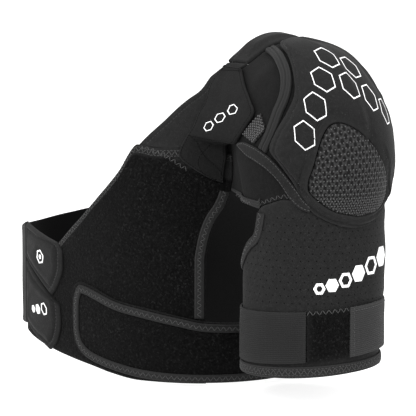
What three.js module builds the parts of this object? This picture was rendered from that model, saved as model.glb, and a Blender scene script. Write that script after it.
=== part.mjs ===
// Shoulder brace for the left shoulder, in its worn form. Millimetres, +Z up, the wearer faces -Y and their
// left side is +X. The pieces are cloth walls that lie in layers on one smooth body surface, so each piece is
// an outline on that surface with a lowest and a highest level above it.
import * as THREE from "three";
import { mergeVertices } from "three/addons/utils/BufferGeometryUtils.js";

// Body that the brace is cut for. Z = 0 is the lower edge of the brace in front.
const TORSO_HALF_WIDTH = 146;
const TORSO_HALF_DEPTH = 107;
const TORSO_SQUARENESS = 2.25;
const TORSO_STRAIGHT_HEIGHT = 150;
const TORSO_DOME_HEIGHT = 138;
const TORSO_DOME_POWER = 2.2;
const TORSO_HEIGHT = TORSO_STRAIGHT_HEIGHT + TORSO_DOME_HEIGHT;
const ARM_RADIUS_SIDE = 52;
const ARM_RADIUS_FRONT = 56;
const ARM_TOP_HEIGHT = 190;
const ARM_ROUND_TOP = 54;
const ARM_LOW = new THREE.Vector3(218, -23, 0);
const ARM_TOP = new THREE.Vector3(201, -6, ARM_TOP_HEIGHT);
const SHOULDER_BALL = new THREE.Vector3(198, -3, 206);
const SHOULDER_BALL_RADIUS = 57;
const YOKE_NECK = new THREE.Vector3(72, 20, 247);
const YOKE_SHOULDER = new THREE.Vector3(176, 4, 239);
const YOKE_NECK_RADIUS = 49.5;
const YOKE_SHOULDER_RADIUS = 48;
const BALL_BLEND = 24;
const YOKE_BLEND = 34;
const ARMPIT_BLEND = 14;
const ARMPIT_HEIGHT = 165;

// Walls and the levels of the layers above the body
const NEOPRENE = 3;
const STRETCH_CLOTH = 2;
const LAYER_GAP = 0.5;
const SEAM_GAP = 0.8;
const CHEST_SEAM_GAP = 1.4;
const FOLD_GAP = 2.2;
const NECK_PAD = 4.2;
const STRAP_CLOTH = 2.6;
const ELASTIC = 1.8;
const LOOP_PILE = 1.5;
const TAPE = 1.1;
const TAPE_WIDTH = 8;
const HEM_BAND_WIDTH = 9;
const TAB_PAD = 5.5;
const TAB_EDGE = 2.6;
const CAP_PAD = 6;
const CAP_EDGE = 2.2;
const MESH_CLOTH = 2;
const MESH_CROWN = 1.6;
const PIPING_WIDTH = 5;
const PIPING_HEIGHT = 2.4;
const EDGE_TAPE = 1.6;

// Chart of the shoulder: a run measured up the arm, then round a bend inward to the neck
const BEND_X = 120;
const BEND_Z = 170;
const BEND_RUN = 118;
const YOKE_AXIS = new THREE.Vector3(BEND_X, 6, 232);
const SHOULDER_RUN = BEND_Z + BEND_RUN;

// Lower ends of the arm pieces, which are cut level with a slant to the front
const SLEEVE_HEM = 24.5;
const SLEEVE_HEM_SLANT = 3;
const STRAP_LOW = 37;
const STRAP_LOW_SLANT = 5;
const STRAP_TOP = 78;
const STRAP_TOP_SLANT = 3.5;
const SLANT_TURN = -50;

// Round the body, in degrees from the front to the wearer's left
const CHEST_RIGHT_TURN = -46;
const BELT_FRONT_TURN = -41;
const BELT_BACK_TURN = -150;
const NECK_BAND_TURN = 45;
const YOKE_LAP_TURN = 8;
const YOKE_SEAM_TURN = 0.5;

// Round the arm, in degrees from the outer side to the front
const LOOP_PATCH_FRONT_TURN = 47;
const LOOP_PATCH_BACK_TURN = -52;
const STRAP_TAB_FRONT_TURN = 9.5;
const STRAP_TAB_BACK_TURN = -62;

// The brace sits on top of the shoulder at this place along X and Y
const SEAT_X = 170;
const SEAT_Y = 4;

// Lower edge of the body panels. height: share of TORSO_HEIGHT
const BODY_HEM = [
  { turn: -60, height: 0.08 },
  { turn: -46, height: 0.069 },
  { turn: -15, height: 0.045 },
  { turn: 0, height: 0.034 },
  { turn: 15, height: 0.023 },
  { turn: 27, height: 0.01 },
  { turn: 40, height: 0 },
  { turn: 90, height: 0 },
];

// Upper edges of the chest panel and of the back panel, up to their seams with the yoke
const CHEST_DIAGONAL = [
  { turn: -46, height: 0.27 },
  { turn: -25, height: 0.315 },
  { turn: -7.5, height: 0.386 },
  { turn: 2, height: 0.438 },
  { turn: 13.4, height: 0.503 },
  { turn: 21, height: 0.56 },
  { turn: 31, height: 0.638 },
];
const BACK_DIAGONAL = [
  { turn: -46, height: 0.392 },
  { turn: -36, height: 0.407 },
  { turn: -25, height: 0.432 },
  { turn: -16, height: 0.452 },
  { turn: -7.5, height: 0.477 },
  { turn: 2, height: 0.512 },
  { turn: 13.4, height: 0.556 },
  { turn: 21, height: 0.595 },
  { turn: 31, height: 0.652 },
];

// Edge of the chest panel at the armhole
const CHEST_SIDE = [
  { height: 0, turn: 64.5 },
  { height: 0.37, turn: 64.6 },
  { height: 0.42, turn: 65.4 },
  { height: 0.462, turn: 66.6 },
  { height: 0.5, turn: 68.4 },
  { height: 0.535, turn: 71 },
  { height: 0.58, turn: 73 },
  { height: 0.7, turn: 75 },
];
const FOLD_CLEARANCE_TURN = 0.4;
const CHEST_BINDING_LOW = 0.215;
const CHEST_BINDING_TOP = 0.575;
const CHEST_BINDING_INSET_TURN = 2.2;

// Places where the chest's upper edge meets the yoke's end, as shares of that end, and the base's side, as
// shares of its rise
const YOKE_END_SHARES = [1, 0.5, 0.15];
const FOLD_RISES = [0.95, 0.85, 0.7];
const LOW_FOLD_RISES = [0, 0.2, 0.4, 0.7];
const CORNER_RISE = 0.7;

// Seams of the yoke over the shoulder. run: shares of SHOULDER_RUN, at the neck edge and at the cap side
const YOKE_EDGES = [
  { turn: -113, neck: 1.165, cap: 1.033 },
  { turn: -97, neck: 1.108, cap: 1.03 },
  { turn: -76, neck: 1.08, cap: 1.014 },
  { turn: -55, neck: 1.064, cap: 0.975 },
  { turn: -40, neck: 1.01, cap: 0.935 },
  { turn: -26, neck: 0.993, cap: 0.926 },
  { turn: 0, neck: 0.99, cap: 0.93 },
  { turn: 26, neck: 0.993, cap: 0.926 },
  { turn: 40, neck: 1.01, cap: 0.935 },
  { turn: 55, neck: 1.064, cap: 0.975 },
  { turn: 76, neck: 1.08, cap: 1.014 },
  { turn: 97, neck: 1.108, cap: 1.03 },
  { turn: 113, neck: 1.165, cap: 1.033 },
];
const YOKE_END_LEAN = 0.05;

// Seam between the sleeve and the shoulder base, then the sleeve's own edge round the armpit
const SLEEVE_TOP = [
  { turn: 0, run: 0.573 },
  { turn: 50, run: 0.58 },
  { turn: 65, run: 0.583 },
  { turn: 80, run: 0.568 },
  { turn: 88, run: 0.558 },
  { turn: 92, run: 0.54 },
  { turn: 95, run: 0.49 },
  { turn: 101, run: 0.465 },
  { turn: 109, run: 0.443 },
  { turn: 120, run: 0.41 },
  { turn: 140, run: 0.385 },
  { turn: 180, run: 0.375 },
];

// Edge of the shoulder base at the armhole and up the armpit fold
const BASE_ARMHOLE = [
  { turn: 88, run: 0.561 },
  { turn: 92, run: 0.545 },
  { turn: 97, run: 0.547 },
  { turn: 105, run: 0.557 },
  { turn: 116, run: 0.567 },
  { turn: 128, run: 0.578 },
];
const BASE_SIDE = [
  { turn: 72.3, height: 0.556 },
  { turn: 73.6, height: 0.598 },
  { turn: 74.3, height: 0.64 },
  { turn: 74.2, height: 0.68 },
];
const BASE_CORNER = { turn: 113, run: 1.033 };

// The base is pulled straight over the armpit fold, from these columns to its side edge
const WEB_LOW_TURN = 90;
const WEB_HIGH_TURN = 122;
const WEB_RISE = 0.75;
const BASE_END_TURN = 128;
const BASE_BINDING_RISES = [0.004, 0.06];

// Cap over the shoulder: the edge of its window and its outer edge, spoke by spoke round the window
const CAP_SPOKES = [
  { windowTurn: 2, windowRun: 0.532, edgeTurn: 2, edgeRun: 0.5 },
  { windowTurn: 13, windowRun: 0.538, edgeTurn: 15, edgeRun: 0.504 },
  { windowTurn: 25, windowRun: 0.549, edgeTurn: 29, edgeRun: 0.52 },
  { windowTurn: 33, windowRun: 0.565, edgeTurn: 40, edgeRun: 0.54 },
  { windowTurn: 41, windowRun: 0.588, edgeTurn: 49, edgeRun: 0.572 },
  { windowTurn: 46, windowRun: 0.604, edgeTurn: 56, edgeRun: 0.615 },
  { windowTurn: 45, windowRun: 0.622, edgeTurn: 64, edgeRun: 0.655 },
  { windowTurn: 41.5, windowRun: 0.638, edgeTurn: 71, edgeRun: 0.688 },
  { windowTurn: 37.5, windowRun: 0.657, edgeTurn: 64, edgeRun: 0.72 },
  { windowTurn: 33.5, windowRun: 0.675, edgeTurn: 52, edgeRun: 0.748 },
  { windowTurn: 29, windowRun: 0.69, edgeTurn: 42, edgeRun: 0.772 },
  { windowTurn: 24, windowRun: 0.7, edgeTurn: 34, edgeRun: 0.812 },
  { windowTurn: 18, windowRun: 0.702, edgeTurn: 26, edgeRun: 0.855 },
  { windowTurn: 11, windowRun: 0.696, edgeTurn: 18, edgeRun: 0.893 },
  { windowTurn: 3, windowRun: 0.684, edgeTurn: 6, edgeRun: 0.917 },
  { windowTurn: -6, windowRun: 0.668, edgeTurn: -8, edgeRun: 0.915 },
  { windowTurn: -15, windowRun: 0.65, edgeTurn: -22, edgeRun: 0.88 },
  { windowTurn: -24, windowRun: 0.635, edgeTurn: -34, edgeRun: 0.82 },
  { windowTurn: -32, windowRun: 0.617, edgeTurn: -48, edgeRun: 0.755 },
  { windowTurn: -38, windowRun: 0.597, edgeTurn: -62, edgeRun: 0.68 },
  { windowTurn: -39, windowRun: 0.578, edgeTurn: -59, edgeRun: 0.61 },
  { windowTurn: -34, windowRun: 0.559, edgeTurn: -46, edgeRun: 0.555 },
  { windowTurn: -24, windowRun: 0.543, edgeTurn: -30, edgeRun: 0.522 },
  { windowTurn: -11, windowRun: 0.535, edgeTurn: -14, edgeRun: 0.505 },
];
const WINDOW_CENTRE = { turn: 3, run: 0.612 };
const WINDOW_CLEARANCE = 0.985;

// Bound seam from the cross strap to the cap's lower corner: its upper and lower edges
const CAP_TAPE = [
  { turn: 97, upper: 0.757, lower: 0.742 },
  { turn: 90, upper: 0.744, lower: 0.7 },
  { turn: 81, upper: 0.71, lower: 0.672 },
  { turn: 74, upper: 0.679, lower: 0.648 },
  { turn: 67, upper: 0.649, lower: 0.617 },
  { turn: 61, upper: 0.617, lower: 0.592 },
  { turn: 56, upper: 0.592, lower: 0.574 },
];

// Rolled piping along the front and back edges of the cap, from the neck band down
const PIPING_PATH = [
  { turn: 28, run: 0.886 },
  { turn: 34, run: 0.85 },
  { turn: 41, run: 0.808 },
  { turn: 49, run: 0.776 },
  { turn: 58, run: 0.754 },
  { turn: 67, run: 0.724 },
  { turn: 73, run: 0.702 },
];

// Small mesh vent between the cross strap, the cap and the tape
const VENT_CORNERS = [
  { turn: 87, run: 0.765 },
  { turn: 67, run: 0.77 },
  { turn: 70, run: 0.737 },
  { turn: 80, run: 0.722 },
];

// Cross strap down the front of the shoulder: its left edge in the chart of the torso, its right edge in the
// chart of the shoulder as far as the armpit fold, then in the chart of the torso
const STRAP_LEFT = [
  { turn: 76.4, height: 0.935 },
  { turn: 74, height: 0.905 },
  { turn: 71.7, height: 0.87 },
  { turn: 68.1, height: 0.829 },
  { turn: 64, height: 0.795 },
  { turn: 61.5, height: 0.76 },
  { turn: 59.6, height: 0.74 },
  { turn: 57.5, height: 0.715 },
  { turn: 55.7, height: 0.68 },
  { turn: 61, height: 0.638 },
  { turn: 67, height: 0.609 },
];
const STRAP_RIGHT_UPPER = [
  { turn: 46, run: 0.935 },
  { turn: 59, run: 0.878 },
  { turn: 64.8, run: 0.823 },
  { turn: 68.4, run: 0.783 },
  { turn: 79, run: 0.772 },
  { turn: 91, run: 0.766 },
  { turn: 101, run: 0.768 },
];
const STRAP_RIGHT_LOWER = [
  { turn: 73.5, height: 0.707 },
  { turn: 72.4, height: 0.673 },
  { turn: 70.8, height: 0.638 },
  { turn: 70.2, height: 0.6 },
];

// Tabs that close the belt on the chest, left and right ends of each row. height: share of TORSO_HEIGHT
const UPPER_TAB = [
  { left: -40, leftHeight: 0.443, right: -10, rightHeight: 0.386 },
  { left: -40, leftHeight: 0.41, right: -5.5, rightHeight: 0.36 },
  { left: -40, leftHeight: 0.375, right: -5.5, rightHeight: 0.31 },
  { left: -40, leftHeight: 0.34, right: -9, rightHeight: 0.258 },
  { left: -40, leftHeight: 0.312, right: -14, rightHeight: 0.218 },
];
const LOWER_TAB = [
  { left: -40, leftHeight: 0.305, right: -13, rightHeight: 0.207 },
  { left: -40, leftHeight: 0.25, right: -8, rightHeight: 0.188 },
  { left: -40, leftHeight: 0.2, right: -7.2, rightHeight: 0.135 },
  { left: -40, leftHeight: 0.15, right: -10, rightHeight: 0.08 },
  { left: -40, leftHeight: 0.1, right: -16, rightHeight: 0.045 },
];
const BELT_EDGES = [
  { turn: -150, low: 0.03, top: 0.4 },
  { turn: -110, low: 0.045, top: 0.42 },
  { turn: -70, low: 0.075, top: 0.445 },
  { turn: -41, low: 0.1, top: 0.445 },
];

// Wide strap round the body under the arm, from its rounded end on the chest to the back
const LOWER_STRAP = [
  { turn: 3, low: 0.16, top: 0.235 },
  { turn: 4.5, low: 0.095, top: 0.265 },
  { turn: 8, low: 0.062, top: 0.278 },
  { turn: 16, low: 0.042, top: 0.268 },
  { turn: 31, low: 0.02, top: 0.236 },
  { turn: 43, low: 0.008, top: 0.223 },
  { turn: 55, low: 0.004, top: 0.204 },
  { turn: 65, low: 0.004, top: 0.188 },
  { turn: 75, low: 0.004, top: 0.183 },
  { turn: 110, low: 0.004, top: 0.19 },
  { turn: 143, low: 0.02, top: 0.24 },
];

// Columns that the sleeve and the shoulder base share, so that their seam is cut alike on both sides
const SEAM_TURNS = [0, 11, 22, 33, 44, 55, 65, 74, 82, 88];
const BASE_EXTRA_TURNS = [92, 97, 103, 109, 114, 118, 122, 125, 128];
const SLEEVE_EXTRA_TURNS = [92, 95, 101, 109, 120, 134, 148, 164];

// Round the wide strap, closer together at its rounded end
const STRAP_END_TURNS = [3, 4.5, 7, 11, 16, 22];
const STRAP_BACK_TURN = 143;

// Binding of the wide strap, from the low side of its rounded end round to the back. height: share of
// TORSO_HEIGHT
const STRAP_BINDING = [
  { turn: 13, height: 0.072 },
  { turn: 9.5, height: 0.086 },
  { turn: 7.4, height: 0.108 },
  { turn: 6.4, height: 0.14 },
  { turn: 6.4, height: 0.2 },
  { turn: 7.4, height: 0.236 },
  { turn: 10, height: 0.258 },
  { turn: 14, height: 0.254 },
  { turn: 20, height: 0.243 },
  { turn: 31, height: 0.22 },
  { turn: 43, height: 0.205 },
  { turn: 55, height: 0.187 },
  { turn: 65, height: 0.171 },
  { turn: 80, height: 0.166 },
  { turn: 95, height: 0.169 },
  { turn: 110, height: 0.172 },
  { turn: 125, height: 0.19 },
  { turn: 141, height: 0.215 },
];
const BINDING_SEAM_GAP = 1;
const SLEEVE_BINDING_TURN = 97;
const HEM_BAND_START = 0.5;
const TAB_MARGIN = 0.25;
const CAP_FULLNESS = 0.5;

// Numbers of cells
const CHEST_COLUMNS = 26;
const CHEST_ROWS = 10;
const BASE_ROWS = 11;
const YOKE_ROWS = 3;
const SLEEVE_ROWS = 8;
const CAP_COLUMNS = 48;
const CAP_ROWS = 5;
const CAP_MESH_ROWS = 3;
const VENT_CELLS = 3;
const TAPE_CELLS = 14;
const PIPING_CELLS = 16;
const CROSS_ROWS = 20;
const CROSS_COLUMNS = 6;
const BELT_ROWS = 2;
const BELT_COLUMNS = 20;
const TAB_ROWS = 8;
const TAB_COLUMNS = 10;
const STRAP_ROWS = 2;
const STRAP_COLUMNS = 18;
const BINDING_CELLS = 44;
const ARMHOLE_CELLS = 14;
const SLEEVE_BINDING_CELLS = 24;
const HEM_CELLS = 36;
const SLEEVE_STRAP_CELLS = 32;
const LOOP_PATCH_CELLS = 12;
const STRAP_TAB_CELLS = 10;

// Steps of the search for a point on the surface
const ROOT_STEP = 0.4;
const SHORTEST_STEP = 0.3;
const LONGEST_STEP = 10;
const FARTHEST_REACH = 400;

const root = new THREE.Group();
const worn = new THREE.Group();
root.add(worn);

const radians = THREE.MathUtils.degToRad;
const lerp = THREE.MathUtils.lerp;
const clamp = THREE.MathUtils.clamp;

// Body surface as a signed distance: below zero inside the body, above zero outside
function blendMin(a, b, width) {
  const share = clamp(0.5 + (0.5 * (b - a)) / width, 0, 1);
  return lerp(b, a, share) - width * share * (1 - share);
}

function torsoShare(x, y, z) {
  const across = Math.pow(Math.abs(x) / TORSO_HALF_WIDTH, TORSO_SQUARENESS);
  const deep = Math.pow(Math.abs(y) / TORSO_HALF_DEPTH, TORSO_SQUARENESS);
  const round = Math.pow(across + deep, TORSO_DOME_POWER / TORSO_SQUARENESS);
  const dome = Math.pow(Math.max(0, z - TORSO_STRAIGHT_HEIGHT) / TORSO_DOME_HEIGHT, TORSO_DOME_POWER);
  return Math.pow(round + dome, 1 / TORSO_DOME_POWER);
}

function torsoDistance(p) {
  const slope = new THREE.Vector3(
    torsoShare(p.x + ROOT_STEP, p.y, p.z) - torsoShare(p.x - ROOT_STEP, p.y, p.z),
    torsoShare(p.x, p.y + ROOT_STEP, p.z) - torsoShare(p.x, p.y - ROOT_STEP, p.z),
    torsoShare(p.x, p.y, p.z + ROOT_STEP) - torsoShare(p.x, p.y, p.z - ROOT_STEP),
  ).divideScalar(2 * ROOT_STEP);
  return (torsoShare(p.x, p.y, p.z) - 1) / Math.max(slope.length(), 1e-4);
}

function armAxis(height) {
  const share = (height - ARM_LOW.z) / (ARM_TOP.z - ARM_LOW.z);
  return new THREE.Vector3().lerpVectors(ARM_LOW, ARM_TOP, share);
}

function armDistance(p) {
  const centre = armAxis(Math.min(p.z, ARM_TOP.z));
  const x = p.x - centre.x;
  const y = p.y - centre.y;
  const z = Math.max(0, p.z - ARM_TOP.z);
  const share = Math.hypot(x / ARM_RADIUS_SIDE, y / ARM_RADIUS_FRONT, z / ARM_ROUND_TOP);
  const slope = Math.hypot(x / ARM_RADIUS_SIDE ** 2, y / ARM_RADIUS_FRONT ** 2, z / ARM_ROUND_TOP ** 2);
  return (share - 1) / Math.max(slope / Math.max(share, 1e-6), 1e-4);
}

function yokeDistance(p) {
  const along = new THREE.Vector3().subVectors(YOKE_SHOULDER, YOKE_NECK);
  const share = clamp(new THREE.Vector3().subVectors(p, YOKE_NECK).dot(along) / along.lengthSq(), 0, 1);
  const nearest = new THREE.Vector3().lerpVectors(YOKE_NECK, YOKE_SHOULDER, share);
  return p.distanceTo(nearest) - lerp(YOKE_NECK_RADIUS, YOKE_SHOULDER_RADIUS, share);
}

function limbDistance(p) {
  const ball = p.distanceTo(SHOULDER_BALL) - SHOULDER_BALL_RADIUS;
  const arm = blendMin(armDistance(p), ball, BALL_BLEND);
  return blendMin(yokeDistance(p), arm, YOKE_BLEND);
}

// Below the armpit the arm and the torso part, so each is met as if the other were further away
function fromTorso(p) {
  const apart = Math.max(0, ARMPIT_HEIGHT - p.z);
  return blendMin(torsoDistance(p), limbDistance(p) + apart, ARMPIT_BLEND);
}

function fromLimb(p) {
  const apart = Math.max(0, ARMPIT_HEIGHT - p.z);
  return blendMin(torsoDistance(p) + apart, limbDistance(p), ARMPIT_BLEND);
}

function slopeOf(distance, p) {
  const slope = new THREE.Vector3();
  for (const axis of ["x", "y", "z"]) {
    const ahead = p.clone();
    const behind = p.clone();
    ahead[axis] += ROOT_STEP;
    behind[axis] -= ROOT_STEP;
    slope[axis] = (distance(ahead) - distance(behind)) / (2 * ROOT_STEP);
  }
  return slope;
}

// Moves a point along the surface's slope until it lies at a level above the body
function settle(distance, point, level) {
  const p = point.clone();
  for (let i = 0; i < 14; i++) {
    const slope = slopeOf(distance, p);
    const miss = distance(p) - level;
    p.addScaledVector(slope, -miss / Math.max(slope.lengthSq(), 0.2));
    if (Math.abs(miss) < 1e-3) break;
  }
  return p;
}

// Goes from a point inside the body in one direction until it leaves it, then halves the last step
function leaveBody(distance, start, direction) {
  const at = (reach) => start.clone().addScaledVector(direction, reach);
  let inside = 0;
  let outside = 0;
  while (outside < FARTHEST_REACH) {
    const depth = -distance(at(outside));
    if (depth <= 0) break;
    inside = outside;
    outside += clamp(0.9 * depth, SHORTEST_STEP, LONGEST_STEP);
  }
  for (let i = 0; i < 14; i++) {
    const middle = (inside + outside) / 2;
    if (distance(at(middle)) < 0) inside = middle;
    else outside = middle;
  }
  return at(outside);
}

// Chart of the torso: a turn from the front to the wearer's left, and a height
function onTorso(turn, height, level) {
  const direction = new THREE.Vector3(Math.sin(radians(turn)), -Math.cos(radians(turn)), 0);
  return settle(fromTorso, leaveBody(fromTorso, new THREE.Vector3(0, 0, height), direction), level);
}

// Chart of the arm and shoulder: a turn from the outer side to the front, and a run from hem to neck
function onShoulder(turn, run, level) {
  const bend = clamp((run - BEND_Z) / BEND_RUN, 0, 1);
  const angle = (bend * Math.PI) / 2;
  const start = armAxis(BEND_Z);
  const reach = lerp(start.x - BEND_X, YOKE_AXIS.z - BEND_Z, bend);
  const centre = run < BEND_Z ? armAxis(run) : new THREE.Vector3(
    BEND_X + reach * Math.cos(angle) - Math.max(0, run - SHOULDER_RUN),
    lerp(start.y, YOKE_AXIS.y, bend),
    BEND_Z + reach * Math.sin(angle),
  );
  const outward = new THREE.Vector3(Math.cos(angle), 0, Math.sin(angle));
  const direction = outward.multiplyScalar(Math.cos(radians(turn)));
  direction.y = -Math.sin(radians(turn));
  return settle(fromLimb, leaveBody(fromLimb, centre, direction), level);
}

// Value of a table's column at a place along another column, without overshoot between the rows
function column(rows, along, name) {
  const at = rows.map((row) => row[along]);
  const value = rows.map((row) => row[name]);
  const slope = at.slice(1).map((a, i) => (value[i + 1] - value[i]) / (a - at[i]));
  const tangent = at.map((a, i) => {
    if (i === 0) return slope[0];
    if (i === slope.length) return slope[i - 1];
    return slope[i - 1] * slope[i] <= 0 ? 0 : (2 * slope[i - 1] * slope[i]) / (slope[i - 1] + slope[i]);
  });
  return (place) => {
    const x = clamp(place, at[0], at.at(-1));
    let i = 0;
    while (i < slope.length - 1 && x > at[i + 1]) i += 1;
    const step = at[i + 1] - at[i];
    const t = (x - at[i]) / step;
    const start = value[i] * (1 + 2 * t) * (1 - t) ** 2 + value[i + 1] * t * t * (3 - 2 * t);
    return start + step * (tangent[i] * t * (1 - t) ** 2 - tangent[i + 1] * t * t * (1 - t));
  };
}

// Rows are numbered along the table, so that a column can be read by the share of the way along it
function numbered(rows) {
  return rows.map((row, i) => ({ ...row, row: i / (rows.length - 1) }));
}

function shares(count) {
  return Array.from({ length: count + 1 }, (_, i) => i / count);
}

// Closed solid between an outer and an inner grid of points, with rims along the open edges
function closedShell(outer, inner, ringed) {
  const rows = outer.length;
  const columns = outer[0].length;
  const points = [...outer.flat(), ...inner.flat()];
  const half = rows * columns;
  const index = [];
  const quad = (a, b, c, d) => index.push(a, b, c, a, c, d);
  const at = (i, j) => i * columns + (j % columns);
  const across = ringed ? columns : columns - 1;
  for (let i = 0; i < rows - 1; i++)
    for (let j = 0; j < across; j++) {
      quad(at(i, j), at(i, j + 1), at(i + 1, j + 1), at(i + 1, j));
      quad(half + at(i, j), half + at(i + 1, j), half + at(i + 1, j + 1), half + at(i, j + 1));
    }
  for (let j = 0; j < across; j++) {
    quad(at(0, j + 1), at(0, j), half + at(0, j), half + at(0, j + 1));
    quad(at(rows - 1, j), at(rows - 1, j + 1), half + at(rows - 1, j + 1), half + at(rows - 1, j));
  }
  if (!ringed)
    for (let i = 0; i < rows - 1; i++) {
      quad(at(i, 0), at(i + 1, 0), half + at(i + 1, 0), half + at(i, 0));
      const [a, b] = [at(i + 1, columns - 1), at(i, columns - 1)];
      quad(a, b, half + b, half + a);
    }
  return solidGeometry(points, index);
}

// Joins equal points, drops faces that collapse and turns the faces outward
function solidGeometry(points, index) {
  const loose = new THREE.BufferGeometry().setFromPoints(points);
  loose.setIndex(index);
  const merged = mergeVertices(loose, 1e-3);
  const faces = [];
  let volume = 0;
  const corner = [new THREE.Vector3(), new THREE.Vector3(), new THREE.Vector3()];
  for (let i = 0; i < merged.index.count; i += 3) {
    const face = [0, 1, 2].map((k) => merged.index.getX(i + k));
    if (new Set(face).size < 3) continue;
    corner.forEach((v, k) => v.fromBufferAttribute(merged.attributes.position, face[k]));
    volume += corner[0].dot(corner[1].clone().cross(corner[2]));
    faces.push(face);
  }
  merged.setIndex(faces.flatMap((face) => (volume < 0 ? [face[0], face[2], face[1]] : face)));
  merged.computeVertexNormals();
  return merged;
}

function addPiece(name, geometry, finish) {
  const mesh = new THREE.Mesh(geometry, new THREE.MeshStandardMaterial({ ...finish, metalness: 0 }));
  mesh.name = name;
  worn.add(mesh);
}

// Piece whose grid point at row i and column j is place(down, across) in one of the charts
function addPanel(name, finish, downs, acrosses, place, low, high, ringed = false) {
  const level = (value, down, across) => (typeof value === "function" ? value(down, across) : value);
  const face = (value) =>
    downs.map((down) => acrosses.map((across) => place(down, across, level(value, down, across))));
  addPiece(name, closedShell(face(high), face(low), ringed), finish);
}

// Flat tape along a path of points on the body. reach: -1 to 1 across its width
function addStrip(name, finish, distance, path, width, low, high) {
  const ahead = (i) => path[Math.min(i + 1, path.length - 1)];
  const behind = (i) => path[Math.max(i - 1, 0)];
  const face = (level) =>
    [-1, 1].map((reach) =>
      path.map((point, i) => {
        const along = new THREE.Vector3().subVectors(ahead(i), behind(i)).normalize();
        const side = along.cross(slopeOf(distance, point).normalize()).normalize();
        return settle(distance, point.clone().addScaledVector(side, (reach * width) / 2), level);
      }),
    );
  addPiece(name, closedShell(face(high), face(low), false), finish);
}

// Height of a pad above its edge: zero along the rim, one in the middle
function crown(down, across, margin) {
  const rise = (share) => Math.sin((Math.PI / 2) * clamp(Math.min(share, 1 - share) / margin, 0, 1));
  return rise(down) * rise(across);
}

const SMOOTH = { color: 0x2b2b2c, roughness: 0.75 };
const FUZZY = { color: 0x161617, roughness: 0.95 };
const DARK = { color: 0x1c1c1d, roughness: 0.85 };
const MESH = { color: 0x242425, roughness: 0.8 };
const BAND = { color: 0x323234, roughness: 0.8 };

const baseLow = 0;
const wallTop = NEOPRENE;
const secondLow = wallTop + LAYER_GAP;
const overStrap = secondLow + STRAP_CLOTH + LAYER_GAP;

const bodyHem = column(BODY_HEM, "turn", "height");
const chestSide = column(CHEST_SIDE, "height", "turn");
const neckEdge = column(YOKE_EDGES, "turn", "neck");
const capSide = column(YOKE_EDGES, "turn", "cap");
const sleeveTop = column(SLEEVE_TOP, "turn", "run");
const baseArmhole = column(BASE_ARMHOLE, "turn", "run");

const mirrorTurn = (turn, back) => (back ? 180 - turn : turn);
const slanted = (height, slant) => (turn) => height + slant * Math.cos(radians(turn - SLANT_TURN));
const sleeveHemRun = slanted(SLEEVE_HEM, SLEEVE_HEM_SLANT);

const seamTurns = [...SEAM_TURNS, ...BASE_EXTRA_TURNS];
const baseTurns = [...seamTurns.slice(1).map((turn) => -turn).reverse(), ...seamTurns];
const yokeShare = BASE_CORNER.turn / BASE_END_TURN;
const yokeTurns = baseTurns.map((turn) => turn * yokeShare);
const yokeEnd = yokeTurns.at(-1);

// Point of the yoke over the shoulder, from the cap side at 0 to the neck edge at 1
function yokePoint(turn, down, level) {
  const lean = 1 - YOKE_END_LEAN * down * (Math.abs(turn) / yokeEnd) ** 4;
  const run = lerp(capSide(turn) * SHOULDER_RUN + SEAM_GAP, neckEdge(turn) * SHOULDER_RUN, down);
  return onShoulder(turn * lean, run, level);
}

function addYokePiece(name, finish, turns, high) {
  const ends = [turns[0], turns.at(-1)];
  const inset = (turn) => YOKE_SEAM_TURN * (ends.indexOf(turn) < 0 ? 0 : 1 - 2 * ends.indexOf(turn));
  const place = (down, turn, level) => yokePoint(turn + inset(turn), down, level);
  addPanel(name, finish, shares(YOKE_ROWS), turns, place, baseLow, high);
}
const frontTurns = yokeTurns.filter((turn) => turn > NECK_BAND_TURN - YOKE_LAP_TURN);
const bandTurns = yokeTurns.filter((turn) => Math.abs(turn) < NECK_BAND_TURN);
const backTurns = yokeTurns.filter((turn) => turn < YOKE_LAP_TURN - NECK_BAND_TURN);
addYokePiece("front_panel", SMOOTH, frontTurns, NEOPRENE);
addYokePiece("neck_band", SMOOTH, bandTurns, NECK_PAD);
addYokePiece("back_yoke", SMOOTH, backTurns, NEOPRENE);

// Thin stretch cloth over the whole shoulder, from the sleeve's seam and the armholes to the yoke
function baseSpot(rise, position) {
  const side = Math.abs(position);
  const seam = side <= SEAM_TURNS.at(-1);
  const lowRun = seam ? sleeveTop(side) * SHOULDER_RUN + SEAM_GAP : baseArmhole(side) * SHOULDER_RUN;
  const highRun = capSide(position * yokeShare) * SHOULDER_RUN;
  return { turn: lerp(position, position * yokeShare, rise), run: lerp(lowRun, highRun, rise) };
}
const baseEdges = new Map();
function baseEdge(back, level) {
  const key = (back ? "back" : "front") + level;
  if (!baseEdges.has(key)) {
    const onSide = (row) => onTorso(mirrorTurn(row.turn, back), row.height * TORSO_HEIGHT, level);
    const side = BASE_SIDE.map(onSide);
    const turn = back ? -BASE_CORNER.turn : BASE_CORNER.turn;
    const corner = onShoulder(turn, BASE_CORNER.run * SHOULDER_RUN, level);
    baseEdges.set(key, new THREE.CatmullRomCurve3([...side, corner], false, "centripetal"));
  }
  return baseEdges.get(key);
}
function basePlace(rise, position, level) {
  const side = Math.abs(position);
  const webTurn = lerp(WEB_LOW_TURN, WEB_HIGH_TURN, Math.min(1, rise / WEB_RISE));
  const start = baseSpot(rise, Math.sign(position) * Math.min(side, webTurn));
  const onBody = onShoulder(start.turn, start.run, level);
  if (side <= webTurn) return onBody;
  const end = baseEdge(position < 0, level).getPoint(rise);
  const across = (side - webTurn) / (BASE_END_TURN - webTurn);
  const chord = new THREE.Vector3().lerpVectors(onBody, end, across);
  return fromLimb(chord) < level ? settle(fromLimb, chord, level) : chord;
}
addPanel("shoulder_base", DARK, shares(BASE_ROWS), baseTurns, basePlace, baseLow, STRETCH_CLOTH);

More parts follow.
